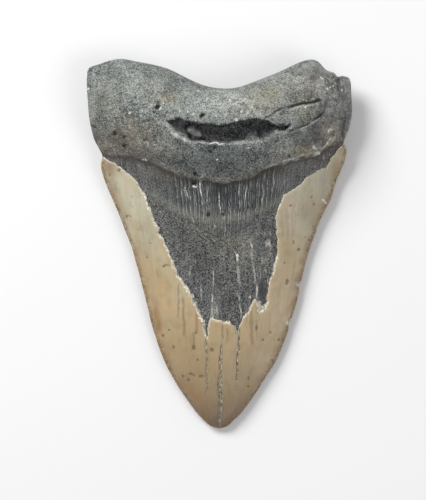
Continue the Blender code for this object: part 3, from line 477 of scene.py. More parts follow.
# Soft patches on the domed face: centre, reach, strength
patches = {
    "rust": [  # reddish brown, mostly low on the root
        ((-32.0, 33.2), (12.0, 5.5), 0.8), ((-24.0, 29.6), (10.0, 2.2), 0.5),
        ((37.0, 36.0), (5.0, 5.5), 0.8), ((29.0, 30.0), (7.0, 2.4), 0.8),
        ((14.0, 45.5), (9.0, 3.5), 0.4), ((-16.3, 47.4), (1.8, 1.2), 0.7),
        ((0.0, 21.0), (12.0, 1.6), 0.5), ((29.0, 50.0), (6.0, 5.0), 0.35),
        ((-40.5, 43.0), (2.5, 10.0), 0.2), ((-17.0, 23.6), (7.0, 1.6), 0.55),
        ((16.0, 23.8), (7.0, 1.6), 0.6), ((29.5, 31.5), (3.5, 1.8), 0.8),
        ((27.5, 31.5), (2.5, 1.8), 0.7), ((-29.0, 41.2), (2.0, 1.5), 0.5),
        ((20.0, 28.0), (4.0, 2.0), 0.35),
    ],
    "shade": [  # darker root and dentine: partly real tone, partly painted shade where the face turns away from the light, as below the hollow and above the neck
        ((-5.0, 25.5), (24.0, 5.0), 0.75), ((1.0, 29.6), (13.0, 2.6), 0.75),
        ((-8.0, 23.5), (10.0, 4.0), 0.6), ((11.0, 28.6), (8.0, 4.0), 0.55),
        ((1.5, 16.8), (7.0, 3.4), 1.0), ((-33.5, 35.0), (7.0, 2.0), 0.5),
        ((29.5, 38.6), (4.0, 1.8), 0.5), ((13.8, -14.8), (1.5, 4.5), 0.6),
        ((24.0, 36.0), (3.0, 3.0), 0.5), ((32.0, 34.0), (2.0, 3.5), 0.35),
        ((-24.0, 14.0), (6.0, 3.0), 0.3), ((-14.0, 19.0), (4.0, 3.0), 0.4),
        ((20.5, 42.3), (2.0, 1.0), 0.5), ((-6.5, -7.0), (6.0, 8.0), 0.4),
        ((-10.5, 31.0), (6.0, 2.0), 0.4), ((-21.0, 21.0), (5.0, 3.5), 0.55),
        ((-27.0, 23.5), (4.0, 2.5), 0.4), ((0.5, 3.6), (5.0, 1.4), 0.3),
        ((10.5, 15.0), (4.0, 3.5), 0.3), ((-10.5, 1.0), (4.0, 5.0), 0.3),
        ((-36.0, 51.0), (4.0, 5.0), 0.3), ((26.0, 32.5), (4.5, 2.5), 0.35),
        ((1.0, 30.8), (7.0, 1.4), 0.8), ((-13.5, 32.8), (3.0, 1.5), 0.7),
        ((-20.0, 53.5), (4.0, 2.5), 0.3), ((29.5, 34.5), (3.0, 2.0), 0.2),
        ((0.0, 26.0), (13.0, 5.5), 1.0), ((-12.2, 26.2), (4.5, 3.0), 1.0),
        ((2.5, -19.5), (3.0, 4.0), 0.4), ((-15.0, 5.5), (3.0, 4.0), 0.4),
        ((6.5, 27.0), (4.0, 3.0), 0.3),
    ],
    "plum": [  # purple brown, along the neck and on the right of the root
        ((-36.0, 30.6), (4.0, 1.2), 0.8), ((-30.5, 28.9), (5.0, 0.9), 0.7),
        ((-24.0, 27.4), (5.0, 0.7), 0.5), ((36.5, 33.2), (3.5, 2.2), 0.3),
        ((33.0, 28.0), (5.0, 1.4), 0.7), ((38.5, 30.6), (2.2, 1.8), 0.7),
        ((31.5, 36.0), (2.0, 3.0), 0.75), ((33.0, 33.6), (3.2, 1.7), 0.8),
        ((37.5, 38.5), (1.2, 2.5), 0.5),
    ],
    "olive": [  # yellow green root and dentine
        ((16.0, 49.2), (5.0, 2.8), 0.9), ((28.5, 43.0), (3.4, 1.8), 0.9),
        ((24.0, 51.0), (6.0, 3.5), 0.2), ((29.0, 54.0), (5.0, 4.0), 0.15),
        ((20.0, 54.0), (8.0, 2.5), 0.2), ((-18.0, 48.0), (6.0, 3.0), 0.5),
        ((-27.0, 39.0), (4.0, 4.0), 0.4), ((27.0, 31.0), (3.0, 1.8), 0.5),
        ((3.0, 0.5), (9.0, 2.2), 0.5), ((-2.0, 6.0), (8.0, 2.0), 0.3), ((8.0, -2.5), (3.0, 3.5), 0.5),
        ((-36.0, 46.0), (4.0, 6.0), 0.3),
    ],
    "slate": [  # smoother and bluer than the rest of the bare dentine
        ((14.4, -16.0), (1.9, 3.8), 1.0), ((12.8, -0.6), (1.5, 2.4), 0.8),
        ((1.5, 16.8), (7.0, 2.8), 0.5), ((15.0, 6.0), (2.0, 3.0), 0.4), ((5.5, 4.2), (2.5, 1.6), 0.4),
        ((-2.5, -16.0), (5.0, 6.0), 0.35), ((24.0, 20.5), (6.0, 2.2), 0.4),
        ((-10.0, 5.0), (5.0, 5.0), 0.25), ((8.0, -18.0), (3.0, 4.0), 0.3),
    ],
    "mauve": [  # a grey lilac, on the right end of the root and on the enamel
        ((41.8, 48.0), (2.6, 9.0), 0.9), ((36.0, 45.0), (3.5, 5.0), 0.5),
        ((33.0, 56.5), (4.0, 3.0), 0.6), ((34.5, 20.0), (3.0, 4.5), 0.5),
        ((-23.5, 4.0), (2.5, 4.0), 0.25), ((-36.0, 26.5), (2.0, 2.0), 0.35),
        ((24.5, -13.5), (1.5, 1.5), 0.6), ((30.0, 9.0), (3.5, 5.0), 0.35),
    ],
    "gold": [  # brown stain in the enamel
        ((-23.5, -17.0), (1.2, 4.5), 0.25), ((-21.0, -22.8), (1.3, 2.8), 1.0),
        ((-20.0, -26.8), (1.3, 3.0), 1.0), ((-9.0, -48.0), (3.0, 3.5), 0.6),
        ((-26.5, -8.0), (1.5, 6.0), 0.5), ((-34.2, 12.0), (1.4, 3.0), 0.7),
        ((-38.0, 22.5), (1.6, 5.0), 0.4), ((-12.0, -32.0), (5.0, 8.0), 0.22),
        ((-31.0, 2.5), (1.4, 4.0), 0.5), ((-36.5, 25.0), (2.6, 3.0), 0.65),
        ((38.5, 24.5), (2.2, 4.5), 0.65), ((-8.0, -42.0), (5.0, 5.0), 0.28),
        ((-11.5, -46.0), (2.6, 3.4), 0.6), ((-6.5, -51.0), (3.4, 4.0), 0.5),
        ((7.0, -50.0), (3.0, 5.0), 0.2), ((8.0, -36.0), (2.5, 5.0), 0.15),
        ((-25.0, -4.0), (3.0, 7.0), 0.22), ((30.5, 12.5), (3.0, 4.0), 0.3),
        ((-19.5, -11.0), (2.5, 5.0), 0.15), ((-9.5, -35.5), (3.0, 4.5), 0.3),
        ((-5.0, -38.5), (2.5, 4.5), 0.25), ((3.0, -52.0), (4.0, 5.0), 0.25),
    ],
    "paintedSheen": [  # painted sheen: a paler, greener patch high on the left blade
        ((-28.0, 14.0), (4.5, 6.0), 0.8), ((-32.0, 20.0), (3.0, 3.5), 0.7),
        ((-24.0, 4.0), (3.0, 5.0), 0.3),
    ],
    "rose": [  # paler and pinker enamel
        ((21.0, -23.0), (5.0, 11.0), 0.6), ((15.5, -40.0), (4.0, 8.0), 0.5),
        ((23.5, 10.0), (2.6, 6.0), 0.8), ((2.5, -57.0), (5.0, 3.0), 0.15),
        ((20.5, -9.0), (2.0, 6.0), 0.3), ((-12.0, -20.0), (3.0, 6.0), 0.15),
    ],
    "crumblyRim": [  # where the enamel's broken edge is wide and crumbled
        ((-15.0, -8.0), (3.5, 9.0), 0.85), ((-10.0, -16.5), (5.0, 5.0), 0.9),
        ((-6.0, -24.0), (3.0, 4.0), 1.0), ((14.0, -20.0), (2.5, 3.0), 0.9),
        ((18.0, -8.0), (2.5, 4.0), 0.7), ((-20.0, 4.0), (3.0, 7.0), 0.7),
        ((3.0, -25.0), (4.0, 2.0), 0.5), ((-24.0, 14.0), (2.5, 6.0), 0.55),
        ((9.0, -22.0), (3.0, 3.0), 0.6),
    ],
    "pale": [  # lighter root and dentine: partly real tone, partly painted light where the root's upper slopes face the light
        ((0.0, 46.2), (15.0, 4.0), 0.85), ((-27.0, 51.0), (10.0, 6.0), 0.45),
        ((22.0, 51.5), (10.0, 4.0), 0.35), ((12.0, 42.5), (6.0, 2.0), 0.6),
        ((30.0, 43.5), (5.0, 2.0), 0.3), ((-24.0, 24.0), (8.0, 4.0), 0.25),
        ((26.0, 25.5), (8.0, 3.0), 0.3), ((41.8, 48.0), (2.6, 9.0), 0.6),
        ((36.5, 44.0), (4.5, 6.0), 0.45), ((37.5, 37.0), (4.0, 3.6), 0.7),
        ((27.0, 30.6), (4.0, 2.6), 0.7), ((32.0, 31.0), (3.0, 1.5), 0.4),
        ((0.2, 6.5), (1.4, 1.6), 0.25), ((-5.5, 11.8), (5.0, 1.2), 0.2), ((9.5, -1.5), (3.4, 4.5), 0.5),
        ((-1.0, -19.5), (2.2, 4.5), 0.3), ((21.0, 20.5), (3.5, 3.0), 0.4),
        ((27.0, 37.0), (3.0, 2.0), 0.35), ((-30.0, 36.5), (4.0, 2.5), 0.4),
        ((33.0, 57.5), (5.0, 2.5), 0.5), ((31.0, 52.0), (7.0, 5.0), 0.35),
        ((41.5, 47.0), (2.0, 7.0), 0.4), ((40.0, 40.0), (2.0, 3.0), 0.35),
        ((18.5, 31.5), (2.5, 2.0), 0.4), ((-20.0, 31.5), (3.0, 1.5), 0.35),
    ],
    "polished": [  # rubbed smooth, so its grain shows less
        ((37.0, 48.0), (7.0, 11.0), 1.0), ((27.0, 54.0), (7.0, 5.0), 0.6),
        ((29.0, 33.0), (7.0, 4.0), 0.4), ((-39.0, 50.0), (4.0, 8.0), 0.4),
    ],
}

# Heights along the middle of the tooth, as (y, z), and of the outline itself
domedMiddle = [
    (-60.8, 3.0), (-57.0, 5.0), (-50.0, 7.3), (-40.0, 9.9), (-25.0, 12.9), (-10.0, 15.6), (5.0, 18.2),
    (15.0, tooth["crownBaseThickness"]), (24.0, 22.6), (32.0, 25.0), (38.0, tooth["rootThickness"]),
    (44.0, 26.0), (52.0, 23.5), (62.0, 20.0),
]
flatMiddle = [
    (-60.8, 1.8), (-54.0, 0.7), (-44.0, -0.05), (-30.0, -0.35), (-12.0, -0.3), (2.0, 0.1), (15.0, 0.9),
    (27.0, 1.6), (40.0, 2.4), (52.0, 3.0), (62.0, 3.2),
]
edgeHeight = [
    (-60.8, 2.4), (-50.0, 2.4), (-30.0, 2.6), (0.0, 3.2), (18.0, 4.0), (27.0, 5.6), (36.0, 8.8),
    (48.0, 9.6), (62.0, 9.2),
]


seeds = {  # what each noise starts its random numbers from
    "rootForm": 1, "neck": 3, "band": 5, "stripes": 6, "bow": 7, "wideStripes": 8, "crackAcross": 11,
    "crackAlong": 13, "lines": 15, "enamelEdge": 21, "enamelChips": 25, "ripple": 26, "pits": 27,
    "crumbs": 29, "serration": 31, "wear": 32, "mouth": 41, "floor": 45, "lip": 47, "block": 48,
    "flatNeck": 51,
}
farOff = 9.0  # a distance past which no colour looks
crackReach = 4.0  # the same, in half widths of a crack


def smoothStep(low, high, value):
    t = np.clip((value - low) / (high - low), 0, 1)
    return t * t * (3 - 2 * t)


def softNoise(x, y, size, seed):
    # smooth unevenness from -1 to 1, with bumps of about this size
    values = np.random.RandomState(seed).uniform(-1, 1, (256, 256))
    u, v = x / size + 1000, y / size + 1000
    i, j = np.floor(u).astype(int), np.floor(v).astype(int)
    a, b = u - i, v - j
    a, b = a * a * (3 - 2 * a), b * b * (3 - 2 * b)

    def corner(di, dj):
        return values[(i + di) % 256, (j + dj) % 256]

    low = corner(0, 0) * (1 - a) + corner(1, 0) * a
    high = corner(0, 1) * (1 - a) + corner(1, 1) * a
    return low * (1 - b) + high * b


def unevenness(x, y, noises, seed, skip=0):
    # noises added up, each an (amount, size) pair
    total = 0.0
    for k, (amount, size) in enumerate(noises):
        total = total + amount * softNoise(x, y, size, seeds[seed] + skip + k)
    return total


def shaken(x, y, noises, seed):
    # the same places, pushed about by noises
    return x + unevenness(x, y, noises, seed), y + unevenness(x, y, noises, seed, len(noises))


def curveThrough(points, closed=False, steps=10):
    # close points on a smooth curve through the given ones
    p = np.array(points, float)
    ends = [p[-1:], p, p[:2]] if closed else [2 * p[:1] - p[1:2], p, 2 * p[-1:] - p[-2:-1]]
    padded = np.vstack(ends)
    t = np.linspace(0, 1, steps, endpoint=False)[:, None]
    spans = []
    for a, b, c, d in zip(padded, padded[1:], padded[2:], padded[3:]):
        bend = (2 * a - 5 * b + 4 * c - d) * t**2 + (3 * b - a - 3 * c + d) * t**3
        spans.append(0.5 * (2 * b + (c - a) * t + bend))
    if not closed:
        spans.append(p[-1:])
    return np.vstack(spans)


def along(points, shares):
    # points at these shares of the curve's length
    curve = curveThrough(points, steps=24)
    steps = np.linalg.norm(np.diff(curve, axis=0), axis=1)
    length = np.concatenate([[0], np.cumsum(steps)])
    return np.stack([np.interp(shares * length[-1], length, curve[:, k]) for k in (0, 1)], -1)


def profile(points, position):
    curve = curveThrough(points, steps=24)
    return np.interp(position, curve[:, 0], curve[:, 1])


def flowAcross(x, across):
    # the coordinate that stays the same along the growth lines, which fan in a little towards the tip
    return 0.35 * x + 0.65 * 35.0 * across


def offLine(line, x, y):
    # distance to a line of points, its sign by the side, and the share of the way along it
    nearest = np.full(x.shape, np.inf)
    side = np.ones(x.shape)
    share = np.zeros(x.shape)
    for k, ((ax, ay), (bx, by)) in enumerate(zip(line, line[1:])):
        dx, dy = bx - ax, by - ay
        t = np.clip(((x - ax) * dx + (y - ay) * dy) / max(dx * dx + dy * dy, 1e-12), 0, 1)
        gap = np.hypot(x - ax - t * dx, y - ay - t * dy)
        closer = gap < nearest
        nearest[closer] = gap[closer]
        side[closer] = np.sign(dx * (y - ay) - dy * (x - ax))[closer]
        share[closer] = ((k + t) / (len(line) - 1))[closer]
    return nearest, side, share


def depthInside(loop, x, y):
    # distance to a closed loop of points, positive inside it
    loop = np.array(loop, float)
    inside = np.zeros(x.shape, bool)
    for (ax, ay), (bx, by) in zip(loop, np.roll(loop, -1, axis=0)):
        if ay != by:
            inside ^= ((ay > y) != (by > y)) & (x < (bx - ax) * (y - ay) / (by - ay) + ax)
    distance = offLine(np.vstack([loop, loop[:1]]), x, y)[0]
    return np.where(inside, distance, -distance)


def spread(share, crowding):
    return share + crowding * (0.5 - 0.5 * np.cos(np.pi * share) - share)


def bell(value, width):
    return np.exp(-((value / width) ** 2))


def rounding(inset, radius):
    return np.sqrt(1 - (1 - np.clip(inset / radius, 0, 1)) ** 2)


def toSpots(spots, x, y):
    # distance to the rim of the nearest spot, negative inside it
    nearest = np.full(x.shape, farOff)
    for (px, py), radius in spots:
        nearest = np.minimum(nearest, np.hypot(x - px, y - py) - radius)
    return nearest


def softPatches(name, x, y):
    # the strongest of a kind's patches at each place
    strongest = np.zeros(x.shape)
    for (px, py), (rx, ry), strength in patches[name]:
        patch = strength * np.exp(-((x - px) / rx) ** 2 - ((y - py) / ry) ** 2)
        strongest = np.maximum(strongest, patch)
    return strongest


def planOfTooth():
    # where each square's corner lies, seen from above, and how far it is from the outline
    s = spread(np.linspace(0, 1, tooth["columns"] + 1), tooth["crowdingAcross"])
    t = spread(np.linspace(0, 1, tooth["rows"] + 1), tooth["crowdingAlong"])
    left, right = along(leftSide, t), along(rightSide, t)
    low, top = along(tipEnd, s), along(rootTop, s)
    s, t = s[None, :, None], t[:, None, None]
    sides = (1 - s) * left[:, None] + s * right[:, None]
    ends = (1 - t) * low[None] + t * top[None]
    corners = (1 - t) * ((1 - s) * low[0] + s * low[-1]) + t * ((1 - s) * top[0] + s * top[-1])
    plan = sides + ends - corners
    x, y = plan[..., 0], plan[..., 1]
    even = np.linspace(0, 1, 160)
    runs = [along(run, even) for run in (leftSide, rootTop, rightSide, tipEnd)]
    inset = sum(np.maximum(offLine(run, x, y)[0], 0.01) ** -4.0 for run in runs) ** -0.25
    inset[0], inset[-1], inset[:, 0], inset[:, -1] = 0, 0, 0, 0
    across = np.broadcast_to(2 * s[..., 0] - 1, x.shape)
    return x, y, across, inset


def serrate(x, y, across, inset):
    # worn serrations down both cutting edges, and chips out of the right one
    pitch = tooth["serrationPitch"]
    wave = np.abs(((y + 0.3 * softNoise(x, y, 4, seeds["serration"])) / pitch) % 1 - 0.5) * 2
    worn = softNoise(x * 0 + np.sign(across) * 50, y, 5, seeds["wear"])
    wear = np.clip(0.65 + 0.6 * worn, 0.1, 1)
    crown = smoothStep(-58.0, -52.0, y) * smoothStep(28.0, 22.0, y)
    cut = tooth["serrationDepth"] * wave * wear
    for chipY, reach, depth in tooth["edgeChips"]:
        cut = cut + depth * bell(y - chipY, reach) * (across > 0)
    edgeOnly = 1 - smoothStep(0, 0.9, inset)
    return x - np.sign(across) * cut * crown * edgeOnly


def crackFields(lines, x, y, wobble=tooth["crackWobble"]):
    # groove depth, the signed gap as a share of the crack's half width, and how dark it is drawn
    wobbleX = x + wobble * softNoise(x, y, 1.6, seeds["crackAcross"])
    wobbleY = y + wobble * softNoise(x, y, 1.6, seeds["crackAlong"])
    groove, strength = np.zeros(x.shape), np.zeros(x.shape)
    offset, reach = np.full(x.shape, crackReach), np.full(x.shape, np.inf)
    for points, depth, halfWidth, darkness in lines:
        line = curveThrough(points, steps=5)
        gap, side, share = offLine(line, wobbleX, wobbleY)
        length = np.linalg.norm(np.diff(line, axis=0), axis=1).sum()
        taper = np.clip(np.minimum(share, 1 - share) * length / 2.0 + 0.15, 0, 1)
        groove = np.maximum(groove, depth * taper * (1 - smoothStep(0, halfWidth * 1.3, gap)))
        away = gap / halfWidth
        nearer = away < reach
        reach = np.where(nearer, away, reach)
        offset = np.where(nearer, side * np.minimum(away, crackReach), offset)
        dark = darkness * taper * (1 - smoothStep(2.5, crackReach, away))
        strength = np.where(nearer, dark, strength)
    return groove, offset, strength


def lineMask(lines, x, y):
    wobbleX = x + 0.2 * softNoise(x, y, 2.0, seeds["lines"])
    mask = np.zeros(x.shape)
    for points, halfWidth, strength in lines:
        gap, side, share = offLine(curveThrough(points, steps=4), wobbleX, y)
        ends = smoothStep(0, 0.12, share) * smoothStep(1, 0.88, share)
        mask = np.maximum(mask, strength * ends * (1 - smoothStep(halfWidth * 0.5, halfWidth * 1.6, gap)))
    return mask


def domedForm(x, y, across, inset, overNeck):
    # the smooth form: domed blade, thick root with its two lobes, and the slope between them
    edge = profile(edgeHeight, y)
    middle = profile(domedMiddle, y)
    square, fall = tooth["domePowers"]
    dome = (1 - np.abs(across) ** square) ** fall
    blade = edge + (middle - tooth["neckShelf"] - edge) * dome
    channel = bell(overNeck + tooth["channelBelowNeck"], tooth["channelWidth"])
    blade -= tooth["neckChannel"] * channel * dome

    full = smoothStep(0, tooth["rootSlope"], overNeck)
    drop = tooth["lobeDropByNeck"] + (tooth["lobeDrop"] - tooth["lobeDropByNeck"]) * full
    lobeMiddle = middle - drop * np.clip(np.abs(x) / tooth["lobeHalfWidth"], 0, 1.2) ** 2
    radius = tooth["rootRoundingByNeck"] + (tooth["rootRounding"] - tooth["rootRoundingByNeck"]) * full
    root = edge + (lobeMiddle - edge) * rounding(inset, radius)
    amount, size = tooth["rootUnevenness"]
    root += amount * softNoise(x, y, size, seeds["rootForm"]) * smoothStep(0, 5, inset)
    endRib = smoothStep(*tooth["endRibFrom"], x) * smoothStep(*tooth["endRibAbove"], y)
    root -= tooth["endRibStep"] * endRib * smoothStep(0, 1.5, inset)

    narrow, growth = tooth["neckSlope"]
    step = narrow + growth * across**2
    share = smoothStep(-step, step, overNeck)
    # the granular root ends in a small ragged ledge on top of that slope
    ledge = tooth["neckLedge"] * smoothStep(-0.3, 0.5, overNeck) * smoothStep(9, 2, overNeck)
    ledge *= smoothStep(0, 4, inset)
    return blade * (1 - share) + root * share + ledge


def brokenEnamel(x, y, inset):
    # distance past the enamel's broken edge, how much of its wall stands, and the thickness left
    rag = tooth["enamelRaggedness"] * (0.6 + softPatches("crumblyRim", x, y))
    ragX, ragY = shaken(x, y, ((rag, 1.7), (0.5 * rag, 0.6)), "enamelEdge")
    onEnamel = -depthInside(enamelEdge + roundTheRoot, ragX, ragY)
    wall = smoothStep(-0.05, 0.25, onEnamel)
    whole = 0.9 + 0.5 * softNoise(x, y, 1.2, seeds["enamelChips"])
    chipped = 0.75 + 0.25 * smoothStep(0.2, whole, onEnamel)
    return onEnamel, wall, tooth["enamelThickness"] * wall * chipped * smoothStep(0, 2.5, inset)


def openHollow(x, y):
    # steep walls, an uneven floor that runs back under the upper lip, a block of stone, a broken lip
    mouthX, mouthY = shaken(x, y, tooth["mouthRaggedness"], "mouth")
    inHollow = depthInside(curveThrough(hollowMouth, closed=True, steps=3), mouthX, mouthY)
    lipGap = offLine(curveThrough(lowerLip, steps=4), mouthX, mouthY)[0]
    nearLip = smoothStep(3.0, 0.8, lipGap)
    sunk = smoothStep(-0.1, 1.4 - 0.6 * nearLip, inHollow)
    inBlock = depthInside(stoneOutline, mouthX, mouthY)
    block = smoothStep(-0.15, 0.5, inBlock)
    blockTop = tooth["blockHeight"] + tooth["blockSlope"] * (x - stoneOutline[0][0])
    uneven = 1 + unevenness(x, y, tooth["floorUnevenness"], "floor")
    floor = tooth["hollowDepth"] * uneven
    floor = floor * (1 - 0.5 * smoothStep(14.0, 20.0, x)) * (1 - 0.4 * smoothStep(-11.0, -16.0, x))
    blockTop = blockTop + 0.5 * softNoise(x, y, 1.1, seeds["block"])
    depth = sunk * (floor - blockTop * block)
    behind = tooth["hollowUndercut"] * sunk * (1 - block) * (1 - nearLip)
    # how light the lower lip is drawn: broken stone, partly a painted highlight
    lipX, halfWidth, light = zip(*lipBand)
    width = np.interp(x, lipX, halfWidth) * (1 + 0.4 * softNoise(x, y, 1.3, seeds["lip"]))
    lip = np.interp(x, lipX, light) * (1 - smoothStep(width * 0.5, width * 1.3, lipGap)) * (inHollow < 0.3)
    overMouth = smoothStep(-1.5, 0.1, inHollow) * smoothStep(1.2, 2.6, lipGap)
    return inHollow, depth, behind, np.where(sunk > 0.2, inBlock, -2.0), lip, overMouth


def stripedBand(x, y, flow, overNeck):
    # the striped band under the neck, two shallow bows across it, and the stripes themselves
    overBand = y - profile(bandLine, x) + unevenness(x, y, tooth["bandRaggedness"], "band")
    toBow = y - profile(secondBow, x) + unevenness(x, y, tooth["bandRaggedness"], "bow")
    fromMiddle = x - tooth["bandMiddle"]
    reach = 2.5 + 8.0 * bell(fromMiddle, 10.0)
    band = smoothStep(-reach, 1.0, overBand) * smoothStep(0.4, -0.5, overNeck)
    band *= 0.3 + 0.7 * smoothStep(27, 12, np.abs(fromMiddle))
    stripes = softNoise(flow / 0.75, y / 9.0, 1.0, seeds["stripes"])
    stripes = stripes + 0.5 * softNoise(flow / 1.6, y / 14.0, 1.0, seeds["wideStripes"])
    bows = bell(overBand + 0.8, 1.5) * smoothStep(27, 20, np.abs(x))
    bows = np.maximum(bows, 0.4 * bell(toBow, 1.1) * smoothStep(17, 11, np.abs(x - 1.0)))
    return band, bows, stripes


def domedFace(x, y, across, inset):
    # height of the upper face, and what its colours need to know
    overNeck = y - profile(neckLine, x) + unevenness(x, y, tooth["neckRaggedness"], "neck")
    height = domedForm(x, y, across, inset, overNeck)

    onEnamel, wall, enamel = brokenEnamel(x, y, inset)
    height += enamel
    crumb = np.full(x.shape, -farOff)
    for (px, py), (rx, ry) in crumbs:
        crumb = np.maximum(crumb, 1 - np.hypot((x - px) / rx, (y - py) / ry))
    crumbled = smoothStep(0, 0.5, crumb + 0.5 * softNoise(x, y, 0.6, seeds["crumbs"]))
    height -= tooth["crumbDepth"] * crumbled * smoothStep(0, 1.5, inset) * wall

    flow = flowAcross(x, across)
    band, bows, stripes = stripedBand(x, y, flow, overNeck)
    bare = (1 - wall) * smoothStep(0.2, -0.4, overNeck)
    clear = smoothStep(0, 3, inset)
    height += (tooth["striaDepth"] * stripes * band + tooth["bowDepth"] * bows) * bare * clear
    ripple = tooth["enamelRipple"] * softNoise(flow / 1.2, y / 16.0, 1.0, seeds["ripple"])
    height += ripple * wall * clear

    groove, crackOffset, crackStrength = crackFields(cracks, x, y)
    height -= groove * smoothStep(0, 0.8, inset)
    pitX, pitY = shaken(x, y, tooth["pitRaggedness"], "pits")
    for (px, py), radius, depth in pits:
        off = np.hypot(pitX - px, pitY - py)
        height -= depth * (1 - smoothStep(0.2 * radius, radius * 1.1, off))
    toSpot = toSpots(darkSpots, x, y)
    height -= tooth["spotDepth"] * (1 - smoothStep(-0.25, 0.1, toSpot))

    fold = lineMask(folds, x, y) * wall
    height -= tooth["foldDepth"] * fold
    streaks = [(line, 0, width, light) for line, width, light in veins]
    streak, streakStrength = crackFields(streaks, x, y, tooth["veinWobble"])[1:]

    inHollow, depth, behind, inBlock, lip, overMouth = openHollow(x, y)
    height -= tooth["lipDepth"] * lip * (inHollow < 0) + depth

    fields = {name: softPatches(name, x, y) for name in patches}
    return {
        **fields,
        "height": height,
        "behind": behind,
        "enamel": onEnamel,
        "overNeck": overNeck,
        "band": band * (1 - wall),
        "bow": bows * bare,
        "hollow": inHollow,
        "lip": lip,
        "overMouth": overMouth,
        "crumb": crumbled,
        "crack": crackOffset,
        "crackStrength": crackStrength,
        "vein": streak,
        "veinStrength": streakStrength,
        "fold": fold,
        "darkSpot": toSpot,
        "lightSpot": toSpots(lightSpots, x, y),
        "pit": toSpots([(place, radius) for place, radius, depth in pits], x, y),
        "neckBrown": bell(overNeck + 0.3, 0.55) * smoothStep(5, 16, np.abs(x)),
        "neckPale": bell(overNeck - 0.5, 0.35) * smoothStep(10, 18, x) * smoothStep(35, 30, x),
        "block": inBlock,
        "upper": np.ones(x.shape),
    }


def flatFace(x, y, across, inset):
    # height of the lower face, worn level where the blade and both lobes touch down
    edge = profile(edgeHeight, y)
    middle = profile(flatMiddle, y)
    square, growth = tooth["flatBow"]
    bow = square + growth * smoothStep(-10, 28, y)
    blade = middle + (edge - middle) * np.abs(across) ** bow
    (footX, footY), (reachX, reachY) = tooth["footPlace"], tooth["footReach"]
    toFoot = np.hypot((np.abs(x) - footX) / reachX, (y - footY) / reachY)
    underRoot = tooth["footHeight"] + (middle - tooth["footHeight"]) * smoothStep(0, 1, toFoot)
    root = edge + (underRoot - edge) * rounding(inset, tooth["flatRounding"])
    overNeck = y - profile(flatNeckLine, x) + unevenness(x, y, tooth["flatNeckRaggedness"], "flatNeck")
    share = smoothStep(-tooth["flatSlope"], tooth["flatSlope"], overNeck)
    height = blade * (1 - share) + root * share
    height += tooth["flatNeckStep"] * smoothStep(-0.2, 0.25, overNeck) * smoothStep(0, 2.5, inset)
    hairs = [(line, *tooth["hairCrack"]) for line in flatHairCracks]
    groove, crackOffset, crackStrength = crackFields(hairs, x, y)
    height += groove * smoothStep(0, 0.8, inset) * smoothStep(1.5, -0.5, overNeck)
    return {
        "height": height,
        "enamel": -overNeck,
        "overNeck": overNeck,
        "crack": crackOffset,
        "crackStrength": crackStrength * smoothStep(1.0, -0.5, overNeck),
        "rust": 0.6 * bell(overNeck - 1.5, 3.0) + 0.35 * bell(y - 52.0, 8.0),
        "shade": 0.4 * bell(overNeck - 6.0, 4.0),
    }


def missing(name, shape):
    # what the lower face gets where it has no field of its own
    distances = {"hollow": -farOff, "block": -farOff}
    distances.update(dict.fromkeys(("darkSpot", "lightSpot", "pit", "vein"), farOff))
    return np.full(shape, distances.get(name, 0.0))


def toothBlank():
    # a slab of fine squares, one unit each way: two sheets joined by a rim
    bpy.ops.object.select_all(action="DESELECT")
    bpy.ops.mesh.primitive_grid_add(
        x_subdivisions=tooth["columns"], y_subdivisions=tooth["rows"], size=1, location=(0, 0, 0)
    )
    blank = bpy.context.object
    blank.name = blank.data.name = "fossilTooth"
    bpy.ops.object.mode_set(mode="EDIT")
    bpy.ops.mesh.select_all(action="SELECT")
    bpy.ops.mesh.extrude_region_move(TRANSFORM_OT_translate={"value": (0, 0, 1)})
    bpy.ops.mesh.select_all(action="SELECT")
    bpy.ops.mesh.normals_make_consistent(inside=False)
    bpy.ops.object.mode_set(mode="OBJECT")
    return blank


def keep(piece, name, values):
    layer = piece.data.attributes.new(name, "FLOAT", "POINT")
    layer.data.foreach_set("value", values.astype(np.float32))


def markGroup(piece, name, weights):
    # a vertex group, in ten steps of weight
    group = piece.vertex_groups.new(name=name)
    steps = np.rint(weights * 10).astype(int)
    for level in range(1, 11):
        group.add(np.flatnonzero(steps == level).tolist(), level / 10, "REPLACE")


